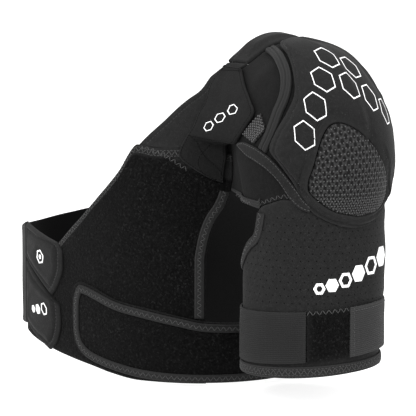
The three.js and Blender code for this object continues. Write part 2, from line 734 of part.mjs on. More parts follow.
// Front or back of the body, from the belt to the armhole. Its upper edge follows the diagonal, then the
// yoke's end and the base's side edge, both read in the chart of the torso.
function addBodyPanel(name, finish, back) {
  const side = back ? -1 : 1;
  const inTorsoChart = (p, gap) => ({
    turn: THREE.MathUtils.radToDeg(Math.atan2(p.x, -side * p.y)),
    height: (p.z - gap) / TORSO_HEIGHT,
  });
  const yokeCorner = (down) => inTorsoChart(yokePoint(side * yokeEnd, down, wallTop), CHEST_SEAM_GAP);
  const foldPoint = (rise) => inTorsoChart(basePlace(rise, side * BASE_END_TURN, wallTop), FOLD_GAP);
  const diagonal = back ? BACK_DIAGONAL : CHEST_DIAGONAL;
  const topEdge = [...diagonal, ...YOKE_END_SHARES.map(yokeCorner), ...FOLD_RISES.map(foldPoint)];
  const top = column(topEdge, "turn", "height");
  const fold = column(LOW_FOLD_RISES.map(foldPoint), "height", "turn");
  const sideTurn = (height) => Math.min(chestSide(height), fold(height) - FOLD_CLEARANCE_TURN);
  const cornerHeight = foldPoint(CORNER_RISE).height;
  const place = (down, across, level) => {
    const lowTurn = lerp(CHEST_RIGHT_TURN, sideTurn(0), across);
    const topTurn = lerp(CHEST_RIGHT_TURN, sideTurn(cornerHeight), across);
    const height = lerp(bodyHem(lowTurn), top(topTurn), down);
    const turn = lerp(CHEST_RIGHT_TURN, sideTurn(cornerHeight * down), across);
    return onTorso(mirrorTurn(turn, back), height * TORSO_HEIGHT, level);
  };
  addPanel(name, finish, shares(CHEST_ROWS), shares(CHEST_COLUMNS), place, baseLow, wallTop);
}
addBodyPanel("chest_panel", FUZZY, false);
addBodyPanel("back_panel", SMOOTH, true);

// Sleeve, a closed ring from its slanted hem to the seam and the armpit
const halfSleeve = [...SEAM_TURNS, ...SLEEVE_EXTRA_TURNS];
const sleeveTurns = [...halfSleeve, 180, ...halfSleeve.slice(1).map((turn) => 360 - turn).reverse()];
const foldTurn = (turn) => Math.abs(((turn + 180) % 360) - 180);
const sleeveEdge = (turn) => sleeveTop(foldTurn(turn)) * SHOULDER_RUN;
const sleevePlace = (down, turn, level) => {
  return onShoulder(turn, lerp(sleeveHemRun(turn), sleeveEdge(turn), down), level);
};
addPanel("sleeve", SMOOTH, shares(SLEEVE_ROWS), sleeveTurns, sleevePlace, baseLow, wallTop, true);

// Cap over the shoulder, a padded ring round its window, and the mesh in the window
const capRing = (turnName, runName) => {
  const corners = CAP_SPOKES.map((row) => new THREE.Vector3(row[turnName], row[runName] * SHOULDER_RUN, 0));
  const curve = new THREE.CatmullRomCurve3(corners, true, "centripetal");
  return shares(CAP_COLUMNS).slice(0, -1).map((share) => curve.getPoint(share));
};
const windowEdge = capRing("windowTurn", "windowRun");
const capEdge = capRing("edgeTurn", "edgeRun");
const windowCentre = new THREE.Vector3(WINDOW_CENTRE.turn, WINDOW_CENTRE.run * SHOULDER_RUN, 0);
const capPlace = (down, i, level) => {
  const spot = new THREE.Vector3().lerpVectors(windowEdge[i], capEdge[i], down);
  return onShoulder(spot.x, spot.y, level);
};
const meshPlace = (down, i, level) => {
  const spot = new THREE.Vector3().lerpVectors(windowCentre, windowEdge[i], down * WINDOW_CLEARANCE);
  return onShoulder(spot.x, spot.y, level);
};
const capTop = (down) => secondLow + lerp(CAP_EDGE, CAP_PAD, Math.sin(Math.PI * down) ** CAP_FULLNESS);
const meshLow = (down) => secondLow + MESH_CROWN * (1 - down ** 2);
const meshTop = (down) => meshLow(down) + MESH_CLOTH;
const spokeNumbers = windowEdge.map((_, i) => i);
addPanel("shoulder_cap", SMOOTH, shares(CAP_ROWS), spokeNumbers, capPlace, secondLow, capTop, true);
addPanel("cap_mesh", MESH, shares(CAP_MESH_ROWS), spokeNumbers, meshPlace, meshLow, meshTop, true);

// Tapes and pipings of the cap, alike in front and at the back
const tapeRows = numbered(CAP_TAPE);
const tapeTurn = column(tapeRows, "row", "turn");
const tapeUpper = column(tapeRows, "row", "upper");
const tapeLower = column(tapeRows, "row", "lower");
const pipingRows = numbered(PIPING_PATH);
const pipingTurn = column(pipingRows, "row", "turn");
const pipingRun = column(pipingRows, "row", "run");
const overBase = STRETCH_CLOTH + LAYER_GAP;
function addCapTrim(end, side) {
  const tapePlace = (down, along, level) => {
    const run = lerp(tapeLower(along), tapeUpper(along), down) * SHOULDER_RUN;
    return onShoulder(side * tapeTurn(along), run, level);
  };
  const tapeTop = secondLow + EDGE_TAPE;
  addPanel("cap_edge_tape_" + end, BAND, shares(1), shares(TAPE_CELLS), tapePlace, secondLow, tapeTop);
  const path = shares(PIPING_CELLS).map((along) =>
    onShoulder(side * pipingTurn(along), pipingRun(along) * SHOULDER_RUN, STRETCH_CLOTH),
  );
  const pipingTop = overBase + PIPING_HEIGHT;
  addStrip("cap_piping_" + end, BAND, fromLimb, path, PIPING_WIDTH, overBase, pipingTop);
}
addCapTrim("front", 1);
addCapTrim("back", -1);

const ventPlace = (down, across, level) => {
  const [a, b, c, d] = VENT_CORNERS;
  const turn = lerp(lerp(a.turn, b.turn, across), lerp(d.turn, c.turn, across), down);
  const run = lerp(lerp(a.run, b.run, across), lerp(d.run, c.run, across), down);
  return onShoulder(turn, run * SHOULDER_RUN, level);
};
addPanel("vent_mesh", MESH, shares(VENT_CELLS), shares(VENT_CELLS), ventPlace, overBase, overBase + TAPE);

// Cross strap, pulled straight across the armpit fold
const leftRows = numbered(STRAP_LEFT);
const leftTurn = column(leftRows, "row", "turn");
const leftHeight = column(leftRows, "row", "height");
const rightEdge = new Map();
function strapRight(level) {
  if (!rightEdge.has(level)) {
    const upper = STRAP_RIGHT_UPPER.map((row) => onShoulder(row.turn, row.run * SHOULDER_RUN, level));
    const lower = STRAP_RIGHT_LOWER.map((row) => onTorso(row.turn, row.height * TORSO_HEIGHT, level));
    rightEdge.set(level, new THREE.CatmullRomCurve3([...upper, ...lower], false, "centripetal"));
  }
  return rightEdge.get(level);
}
const crossPlace = (down, across, level) => {
  const left = onTorso(leftTurn(down), leftHeight(down) * TORSO_HEIGHT, level);
  const chord = new THREE.Vector3().lerpVectors(left, strapRight(level).getPoint(down), across);
  return fromTorso(chord) < level ? settle(fromTorso, chord, level) : chord;
};
const crossTop = secondLow + STRAP_CLOTH;
addPanel("cross_strap", BAND, shares(CROSS_ROWS), shares(CROSS_COLUMNS), crossPlace, secondLow, crossTop);

// Belt round the wearer's right side and the two padded tabs that close it on the chest
const evenTurns = (from, to, count) => shares(count).map((share) => lerp(from, to, share));
const beltLow = column(BELT_EDGES, "turn", "low");
const beltTop = column(BELT_EDGES, "turn", "top");
const beltTurns = evenTurns(BELT_BACK_TURN, BELT_FRONT_TURN, BELT_COLUMNS);
const beltPlace = (down, turn, level) => {
  return onTorso(turn, lerp(beltLow(turn), beltTop(turn), down) * TORSO_HEIGHT, level);
};
addPanel("belt", SMOOTH, shares(BELT_ROWS), beltTurns, beltPlace, secondLow, secondLow + NEOPRENE);

function addTab(name, table) {
  const rows = numbered(table);
  const read = (key) => column(rows, "row", key);
  const left = read("left");
  const leftEnd = read("leftHeight");
  const right = read("right");
  const rightEnd = read("rightHeight");
  const place = (down, across, level) => {
    const turn = lerp(left(down), right(down), across);
    const height = lerp(leftEnd(down), rightEnd(down), across);
    return onTorso(turn, height * TORSO_HEIGHT, level);
  };
  const top = (down, across) => secondLow + lerp(TAB_EDGE, TAB_PAD, crown(down, across, TAB_MARGIN));
  addPanel(name, SMOOTH, shares(TAB_ROWS), shares(TAB_COLUMNS), place, secondLow, top);
}
addTab("upper_tab", UPPER_TAB);
addTab("lower_tab", LOWER_TAB);

// Wide strap under the arm and the binding round its upper edge and its end
const strapLow = column(LOWER_STRAP, "turn", "low");
const strapTop = column(LOWER_STRAP, "turn", "top");
const strapPlace = (down, turn, level) => {
  return onTorso(turn, lerp(strapLow(turn), strapTop(turn), down) * TORSO_HEIGHT, level);
};
const strapBackTurns = evenTurns(STRAP_END_TURNS.at(-1), STRAP_BACK_TURN, STRAP_COLUMNS).slice(1);
const strapTurns = [...STRAP_END_TURNS, ...strapBackTurns];
const strapHigh = secondLow + STRAP_CLOTH;
addPanel("lower_strap", FUZZY, shares(STRAP_ROWS), strapTurns, strapPlace, secondLow, strapHigh);
const bindingRows = numbered(STRAP_BINDING);
const bindingTurn = column(bindingRows, "row", "turn");
const bindingHeight = column(bindingRows, "row", "height");
const strapBindingPath = shares(BINDING_CELLS).map((along) =>
  onTorso(bindingTurn(along), bindingHeight(along) * TORSO_HEIGHT, secondLow),
);
const overTape = overStrap + TAPE;
addStrip("lower_strap_binding", BAND, fromTorso, strapBindingPath, TAPE_WIDTH - 1, overStrap, overTape);

// Bindings of the armhole
const overWall = secondLow + TAPE;
const chestBindingPath = shares(ARMHOLE_CELLS).map((share) => {
  const height = lerp(CHEST_BINDING_LOW, CHEST_BINDING_TOP, share);
  return onTorso(chestSide(height) - CHEST_BINDING_INSET_TURN, height * TORSO_HEIGHT, wallTop);
});
addStrip("chest_armhole_binding", BAND, fromTorso, chestBindingPath, TAPE_WIDTH, secondLow, overWall);
const bindingColumns = seamTurns.filter((turn) => turn > BASE_EXTRA_TURNS[0]).slice(0, -1);
const bindingName = "shoulder_armhole_binding";
addPanel(bindingName, BAND, BASE_BINDING_RISES, bindingColumns, basePlace, overBase, overBase + TAPE);
const sleeveBindingTurns = evenTurns(SLEEVE_BINDING_TURN, 360 - SLEEVE_BINDING_TURN, SLEEVE_BINDING_CELLS);
const sleeveBindingPath = sleeveBindingTurns.map((turn) => {
  return onShoulder(turn, sleeveEdge(turn) - TAPE_WIDTH / 2 - BINDING_SEAM_GAP, wallTop);
});
addStrip("sleeve_top_binding", BAND, fromLimb, sleeveBindingPath, TAPE_WIDTH, secondLow, overWall);

// Hem band, elastic strap, loop patch and strap end on the sleeve
const hemTurns = evenTurns(0, 360, HEM_CELLS).slice(0, -1);
const hemPlace = (down, turn, level) => {
  return onShoulder(turn, sleeveHemRun(turn) + lerp(HEM_BAND_START, HEM_BAND_WIDTH, down), level);
};
addPanel("sleeve_hem", BAND, shares(1), hemTurns, hemPlace, secondLow, overWall, true);
const strapLowRun = slanted(STRAP_LOW, STRAP_LOW_SLANT);
const strapTopRun = slanted(STRAP_TOP, STRAP_TOP_SLANT);
const bandPlace = (down, turn, level) => {
  return onShoulder(turn, lerp(strapLowRun(turn), strapTopRun(turn), down), level);
};
const elasticTurns = evenTurns(LOOP_PATCH_FRONT_TURN, 360 + STRAP_TAB_BACK_TURN, SLEEVE_STRAP_CELLS);
const patchTurns = evenTurns(LOOP_PATCH_FRONT_TURN - 1, LOOP_PATCH_BACK_TURN, LOOP_PATCH_CELLS);
const tabTurns = evenTurns(STRAP_TAB_FRONT_TURN, STRAP_TAB_BACK_TURN + 1, STRAP_TAB_CELLS);
const overPatch = secondLow + LOOP_PILE + LAYER_GAP;
addPanel("sleeve_strap", BAND, shares(1), elasticTurns, bandPlace, secondLow, secondLow + ELASTIC);
addPanel("sleeve_loop_patch", FUZZY, shares(1), patchTurns, bandPlace, secondLow, secondLow + LOOP_PILE);
addPanel("strap_end_tab", SMOOTH, shares(1), tabTurns, bandPlace, overPatch, overPatch + ELASTIC);

// The origin is where the brace sits on top of the shoulder
const overSeat = new THREE.Vector3(SEAT_X, SEAT_Y, YOKE_SHOULDER.z + YOKE_SHOULDER_RADIUS);
const seat = settle(fromLimb, overSeat, baseLow);
worn.position.set(-seat.x, -seat.y, -seat.z);

export default root;
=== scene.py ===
import math

import bpy
import numpy as np
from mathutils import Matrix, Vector
from mathutils.bvhtree import BVHTree


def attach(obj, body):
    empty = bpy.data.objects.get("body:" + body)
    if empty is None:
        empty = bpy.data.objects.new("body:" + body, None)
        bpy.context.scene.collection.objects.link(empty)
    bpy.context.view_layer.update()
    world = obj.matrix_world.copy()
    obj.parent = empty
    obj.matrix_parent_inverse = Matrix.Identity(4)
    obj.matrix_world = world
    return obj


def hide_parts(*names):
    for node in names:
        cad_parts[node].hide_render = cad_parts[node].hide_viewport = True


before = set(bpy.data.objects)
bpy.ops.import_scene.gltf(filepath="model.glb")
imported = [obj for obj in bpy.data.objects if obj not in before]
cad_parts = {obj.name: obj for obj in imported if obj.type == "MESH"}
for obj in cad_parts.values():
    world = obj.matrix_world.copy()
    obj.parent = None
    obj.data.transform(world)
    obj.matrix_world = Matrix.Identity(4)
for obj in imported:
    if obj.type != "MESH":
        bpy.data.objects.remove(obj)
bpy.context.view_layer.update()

# Millimetres, with Z = 0 at the front hem of the body wrap. SEAT is the top of the shoulder there.
SEAT = np.array([170.0514, 3.9781, 287.8672])
TORSO_HALF_WIDTH = 146
TORSO_HALF_DEPTH = 107
TORSO_SQUARENESS = 2.25
TORSO_STRAIGHT_HEIGHT = 150
TORSO_DOME_HEIGHT = 138
TORSO_DOME_POWER = 2.2
TORSO_HEIGHT = 288
ARM_RADII = np.array([52.0, 56.0, 54.0])
ARM_LOW = np.array([218.0, -23.0, 0.0])
ARM_TOP = np.array([201.0, -6.0, 190.0])
SHOULDER_BALL = np.array([198.0, -3.0, 206.0])
SHOULDER_BALL_RADIUS = 57
YOKE_NECK = np.array([72.0, 20.0, 247.0])
YOKE_SHOULDER = np.array([176.0, 4.0, 239.0])
YOKE_NECK_RADIUS = 49.5
YOKE_TAPER = 1.5
BALL_BLEND, YOKE_BLEND, ARMPIT_BLEND = 24, 34, 14
ARMPIT_HEIGHT = 165
BEND_X = 120
BEND_Z = 170
BEND_RUN = 118
YOKE_AXIS_Y, YOKE_AXIS_Z = 6, 232
SHOULDER_RUN = 288

# Thickness of the cloths, and the levels at which their layers start
NEOPRENE = 3.0
STRETCH_CLOTH = 2.0
STRAP_CLOTH = 2.6
TAPE = 1.1
EDGE_TAPE = 1.6
ELASTIC_BAND = 1.8
LOOP_PATCH = 1.5
CAP_EDGE, CAP_PAD = 2.2, 3.4
TAB_EDGE, TAB_PAD = 2.6, 2.4
MESH_CLOTH, MESH_CROWN = 2, 1.6
PIPING_WIDTH, PIPING_HEIGHT = 8.5, 3.4
TAPE_WIDTH = 8.0
OVER_BASE = 2.5
SECOND_LOW = 3.5
OVER_STRAP = 6.6

# Ends of the body pieces round the body, in degrees, and of the yoke round the shoulder
RIGHT_TURN = -46
BELT_BACK, BELT_FRONT = -150, -41
YOKE_END = 113
BASE_END = 128
SLANT_TURN = -50
SEAM_LAP = 0.8


# Body surface as a signed distance
def blend_min(a, b, width):
    share = np.clip(0.5 + 0.5 * (b - a) / width, 0, 1)
    return b + (a - b) * share - width * share * (1 - share)


def torso_share(p):
    across = (np.abs(p[..., 0]) / TORSO_HALF_WIDTH) ** TORSO_SQUARENESS
    deep = (np.abs(p[..., 1]) / TORSO_HALF_DEPTH) ** TORSO_SQUARENESS
    above = np.maximum(0, p[..., 2] - TORSO_STRAIGHT_HEIGHT) / TORSO_DOME_HEIGHT
    flat = (across + deep) ** (TORSO_DOME_POWER / TORSO_SQUARENESS)
    return (flat + above**TORSO_DOME_POWER) ** (1 / TORSO_DOME_POWER)


def slope_of(function, p, step=0.4):
    ways = np.eye(3) * step
    return np.stack([(function(p + way) - function(p - way)) / (2 * step) for way in ways], axis=-1)


def torso_distance(p):
    slope = np.linalg.norm(slope_of(torso_share, p), axis=-1)
    return (torso_share(p) - 1) / np.maximum(slope, 1e-4)


def arm_axis(height):
    return ARM_LOW + (ARM_TOP - ARM_LOW) * (np.asarray(height, float) / ARM_TOP[2])[..., None]


def limb_distance(p):
    offset = p - arm_axis(np.minimum(p[..., 2], ARM_TOP[2]))
    offset[..., 2] = np.maximum(0, p[..., 2] - ARM_TOP[2])
    share = np.linalg.norm(offset / ARM_RADII, axis=-1)
    slope = np.linalg.norm(offset / ARM_RADII**2, axis=-1)
    arm = (share - 1) / np.maximum(slope / np.maximum(share, 1e-6), 1e-4)
    ball = np.linalg.norm(p - SHOULDER_BALL, axis=-1) - SHOULDER_BALL_RADIUS
    along = YOKE_SHOULDER - YOKE_NECK
    t = np.clip((p - YOKE_NECK) @ along / (along @ along), 0, 1)
    reach = np.linalg.norm(p - YOKE_NECK - t[..., None] * along, axis=-1)
    yoke = reach - (YOKE_NECK_RADIUS - YOKE_TAPER * t)
    return blend_min(yoke, blend_min(arm, ball, BALL_BLEND), YOKE_BLEND)


def below_armpit(p):
    """Keeps the body and the arm apart below the armpit."""
    return np.maximum(0, ARMPIT_HEIGHT - p[..., 2])


def from_torso(p):
    return blend_min(torso_distance(p), limb_distance(p) + below_armpit(p), ARMPIT_BLEND)


def from_limb(p):
    return blend_min(torso_distance(p) + below_armpit(p), limb_distance(p), ARMPIT_BLEND)


def settle(distance, point, level, steps=5):
    p = np.array(point, float)
    for _ in range(steps):
        slope = slope_of(distance, p)
        miss = distance(p) - level
        p = p - slope * (miss / np.maximum((slope**2).sum(-1), 0.2))[..., None]
    return p


def leave_body(distance, start, direction):
    inside = np.zeros(start.shape[:-1])
    outside = inside.copy()
    for _ in range(60):
        depth = -distance(start + outside[..., None] * direction)
        going = (depth > 0) & (outside < 400)
        if not going.any():
            break
        inside = np.where(going, outside, inside)
        outside = np.where(going, outside + np.clip(0.9 * depth, 0.3, 10), outside)
    for _ in range(12):
        middle = (inside + outside) / 2
        within = distance(start + middle[..., None] * direction) < 0
        inside = np.where(within, middle, inside)
        outside = np.where(within, outside, middle)
    return start + outside[..., None] * direction


# Charts of the surface: a turn round it in degrees, and a height or a run along it in millimetres
def on_torso(turn, height, level=0.0):
    turn, height = np.broadcast_arrays(np.asarray(turn, float), np.asarray(height, float))
    t = np.radians(turn)
    zero = np.zeros_like(t)
    start = np.stack([zero, zero, height], axis=-1)
    direction = np.stack([np.sin(t), -np.cos(t), zero], axis=-1)
    return settle(from_torso, leave_body(from_torso, start, direction), level)


def on_shoulder(turn, run, level=0.0):
    turn, run = np.broadcast_arrays(np.asarray(turn, float), np.asarray(run, float))
    bend = np.clip((run - BEND_Z) / BEND_RUN, 0, 1)
    angle = bend * math.pi / 2
    foot = arm_axis(BEND_Z)
    reach = (foot[0] - BEND_X) * (1 - bend) + (YOKE_AXIS_Z - BEND_Z) * bend
    bent = [
        BEND_X + reach * np.cos(angle) - np.maximum(0, run - SHOULDER_RUN),
        foot[1] * (1 - bend) + YOKE_AXIS_Y * bend,
        BEND_Z + reach * np.sin(angle),
    ]
    centre = np.where((run < BEND_Z)[..., None], arm_axis(run), np.stack(bent, axis=-1))
    t = np.radians(turn)
    direction = np.stack([np.cos(t) * np.cos(angle), -np.sin(t), np.cos(t) * np.sin(angle)], axis=-1)
    return settle(from_limb, leave_body(from_limb, centre, direction), level)


def torso_at(turn, share, level=0.0):
    return on_torso(turn, share * TORSO_HEIGHT, level)


def shoulder_at(turn, share, level=0.0):
    return on_shoulder(turn, share * SHOULDER_RUN, level)



def curve(*pairs):
    """Smooth reader of a two-column table, without overshoot between its rows."""
    at, value = np.array(pairs, float).T
    slope = np.diff(value) / np.diff(at)
    tangent = np.concatenate([slope[:1], np.zeros(len(slope) - 1), slope[-1:]])
    for i in range(1, len(slope)):
        if slope[i - 1] * slope[i] > 0:
            tangent[i] = 2 * slope[i - 1] * slope[i] / (slope[i - 1] + slope[i])

    def read(place):
        x = np.clip(np.asarray(place, float), at[0], at[-1])
        i = np.clip(np.searchsorted(at, x, side="right") - 1, 0, len(slope) - 1)
        step = at[i + 1] - at[i]
        t = (x - at[i]) / step
        ends = value[i] * (1 + 2 * t) * (1 - t) ** 2 + value[i + 1] * t * t * (3 - 2 * t)
        return ends + step * (tangent[i] * t * (1 - t) ** 2 - tangent[i + 1] * t * t * (1 - t))

    return read


def table(*rows):
    """One reader for each column after the first; the place runs from 0 to 1 along the rows."""
    places = np.linspace(0, 1, len(rows))
    return [curve(*zip(places, column)) for column in zip(*rows)]


def lerp(a, b, share):
    return a + (b - a) * share


def unit(v):
    return v / np.maximum(np.linalg.norm(v, axis=-1, keepdims=True), 1e-9)


def grid(down, across):
    return np.meshgrid(down, across, indexing="ij")


def bell(x, middle, width):
    return np.exp(-(((x - middle) / width) ** 2))


def half_turn(turn):
    """The same turn between -180 and 180 degrees."""
    return (turn + 180) % 360 - 180


def smooth_step(low, high, x):
    t = np.clip((x - low) / (high - low), 0, 1)
    return t * t * (3 - 2 * t)


def ripples(p, wave, seed, count=7):
    """Smooth unevenness from -1 to 1 with waves of about one length, in millimetres."""
    rng = np.random.default_rng(seed)
    total = np.zeros(p.shape[:-1])
    for _ in range(count):
        way = unit(rng.normal(size=3)) * 2 * math.pi / (wave * rng.uniform(0.7, 1.5))
        total += np.sin(p @ way + rng.uniform(0, 2 * math.pi))
    return total / count**0.5 / 1.6


def spaced(length, step, rim=(0.0, 0.25, 0.6, 1.1, 1.8, 2.8)):
    """Shares of the way across a piece of a length, closer together at both rims."""
    near = np.array(rim) / length
    middle = np.linspace(near[-1], 1 - near[-1], max(2, int(length / step)))
    return np.concatenate([near[:-1], middle, 1 - near[:-1][::-1]])


# Outlines of the pieces: a place round the body or shoulder, and a share of its height or run
body_hem = curve(
    (-60, 0.08), (-46, 0.069), (-15, 0.045), (0, 0.034), (15, 0.023), (27, 0.01), (40, 0), (90, 0)
)
back_hem = curve((-60, 0.045), (-46, 0.036), (-15, 0.01), (0, 0.002), (15, 0), (90, 0))
chest_side = curve(
    (0, 64.5), (0.37, 64.6), (0.42, 65.4), (0.462, 66.6), (0.5, 68.4), (0.535, 71), (0.58, 73), (0.7, 75)
)
CHEST_DIAGONAL = (
    (-46, 0.27), (-25, 0.315), (-7.5, 0.383), (2, 0.43), (13.4, 0.49), (21, 0.546), (31, 0.627)
)
BACK_DIAGONAL = (
    (-46, 0.4), (-36, 0.43), (-25, 0.467), (-16, 0.499), (-7.5, 0.521), (2, 0.547), (13.4, 0.58),
    (21, 0.607), (31, 0.652),
)
YOKE_HALF = ((0, 0.99, 0.93), (26, 0.993, 0.926), (40, 1.01, 0.935), (55, 1.064, 0.975))
YOKE_HALF += ((76, 1.08, 1.014), (97, 1.108, 1.03), (113, 1.165, 1.033))
yoke_neck = curve(*[(turn, neck) for turn, neck, _ in YOKE_HALF])
yoke_cap = curve(*[(turn, cap) for turn, _, cap in YOKE_HALF])
sleeve_top = curve(
    (0, 0.573), (50, 0.58), (65, 0.583), (80, 0.568), (88, 0.558), (92, 0.54), (95, 0.49),
    (101, 0.465), (109, 0.443), (120, 0.41), (140, 0.385), (180, 0.375),
)
base_armhole = curve((88, 0.561), (92, 0.545), (97, 0.547), (105, 0.557), (116, 0.567), (128, 0.578))
BASE_SIDE = ((72.9, 0.578), (73.6, 0.608), (74.2, 0.642), (73.9, 0.68))
CAP_SPOKES = np.array([
    (2, 0.532, 2, 0.5), (13, 0.538, 15, 0.504), (25, 0.549, 29, 0.52), (33, 0.565, 40, 0.54),
    (41, 0.588, 49, 0.572), (46, 0.604, 56, 0.615), (45, 0.622, 63, 0.655), (41.5, 0.638, 67.5, 0.688),
    (37.5, 0.657, 59.5, 0.716), (33.5, 0.675, 47, 0.742), (29, 0.69, 37, 0.768), (24, 0.7, 29, 0.81),
    (18, 0.702, 21.5, 0.854), (11, 0.696, 15, 0.892), (3, 0.684, 6, 0.917), (-6, 0.668, -8, 0.915),
    (-15, 0.65, -22, 0.88), (-24, 0.635, -34, 0.82), (-32, 0.617, -48, 0.755), (-38, 0.597, -62, 0.68),
    (-39, 0.578, -59, 0.61), (-34, 0.559, -46, 0.555), (-24, 0.543, -30, 0.522), (-11, 0.535, -14, 0.505),
])


def sleeve_hem_run(turn):
    return 24.5 + 3 * np.cos(np.radians(turn - SLANT_TURN))


def yoke_point(turn, down):
    side = np.abs(turn)
    lean = 1 - 0.05 * down * (side / YOKE_END) ** 4
    run = lerp(yoke_cap(side) * SHOULDER_RUN + 0.8, yoke_neck(side) * SHOULDER_RUN, down)
    return on_shoulder(turn * lean, run)


def base_side(sign, rise, level=0.0):
    turns, heights = np.array(BASE_SIDE).T
    side = torso_at(turns if sign > 0 else 180 - turns, heights, level)
    corner = shoulder_at(YOKE_END * sign, yoke_cap(YOKE_END), level)
    return np.stack([read(rise) for read in table(*side, corner)], axis=-1)


def base_place(rise, position, level=0.0):
    """Shoulder base, from its seams at rise 0 to the yoke at 1, pulled straight over the armpit fold."""
    web = lerp(90, 122, np.minimum(1, rise / 0.75))
    way, side = np.sign(position), np.minimum(np.abs(position), web)
    seam = np.where(side <= 88, sleeve_top(side) * SHOULDER_RUN + 0.2, base_armhole(side) * SHOULDER_RUN)
    high = side * YOKE_END / BASE_END
    turn, run = lerp(side, high, rise) * way, lerp(seam, yoke_cap(high) * SHOULDER_RUN, rise)
    start = on_shoulder(turn, run, level)
    end = np.where((way > 0)[..., None], base_side(1, rise, level), base_side(-1, rise, level))
    share = np.clip((np.abs(position) - web) / (BASE_END - web), 0, 1)[..., None]
    chord = lerp(start, end, share)
    sunk = (share[..., 0] > 0) & (from_limb(chord) < level)
    return np.where(sunk[..., None], settle(from_limb, chord, level), chord)


def body_panel_chart(side):
    """Chart of the chest panel (side 1) or the back panel (side -1), from its hem up to the yoke."""
    ends = [settle(from_limb, yoke_point(YOKE_END * side, down), NEOPRENE) for down in (1, 0.5, 0.15)]
    ends += [base_side(side, rise, NEOPRENE) for rise in (0.95, 0.85, 0.76)]
    corners = [(np.degrees(np.arctan2(p[0], -side * p[1])), (p[2] + SEAM_LAP) / TORSO_HEIGHT) for p in ends]
    top = curve(*(CHEST_DIAGONAL if side > 0 else BACK_DIAGONAL), *corners)
    corner = corners[-1][1]

    def place(down, across):
        low_turn = lerp(RIGHT_TURN, chest_side(0), across)
        top_turn = lerp(RIGHT_TURN, chest_side(corner), across)
        hem = body_hem(low_turn) if side > 0 else back_hem(low_turn)
        height = lerp(hem, top(top_turn), down)
        turn = lerp(RIGHT_TURN, chest_side(height), across)
        return torso_at(turn if side > 0 else 180 - turn, height)

    return place


# Meshes
def add_object(name, data, finish=None):
    obj = bpy.data.objects.new(name, data)
    bpy.context.scene.collection.objects.link(obj)
    if finish is not None:
        data.materials.append(finish)
    return obj


def ride(obj, slot, *nodes):
    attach(obj, "root")
    if nodes:
        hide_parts(*nodes)
    return obj


def arcs(points, axis):
    """Length along each row or column of a grid of points, from its start."""
    step = np.linalg.norm(np.diff(points, axis=axis), axis=-1)
    start = np.zeros_like(np.take(step, [0], axis=axis))
    return np.concatenate([start, np.cumsum(step, axis=axis)], axis=axis)


def closed_ring(values):
    """A grid with its first column again at the end."""
    return np.concatenate([values, values[:, :1]], axis=1)


def shell(rows, columns, ringed=False):
    """Faces of a closed shell over a grid; each corner is its row, its column and its side, 1 for inner."""

    def quads(*corners):
        flat = [np.stack(np.broadcast_arrays(*corner), -1).reshape(-1, 3) for corner in corners]
        return np.stack(flat, axis=1)

    i, j = grid(np.arange(rows - 1), np.arange(columns if ringed else columns - 1))
    outer = quads((i, j, 0), (i, j + 1, 0), (i + 1, j + 1, 0), (i + 1, j, 0))
    found = [outer, outer[:, ::-1] + (0, 0, 1)]
    for row, way in ((0, 1), (rows - 1, -1)):
        j = np.arange(columns if ringed else columns - 1)
        found.append(quads((row, j + 1, 0), (row, j, 0), (row, j, 1), (row, j + 1, 1))[:, ::way])
    for column, way in () if ringed else ((0, 1), (columns - 1, -1)):
        i = np.arange(rows - 1)
        found.append(quads((i, column, 0), (i + 1, column, 0), (i + 1, column, 1), (i, column, 1))[:, ::way])
    return np.concatenate(found)


panels = {}


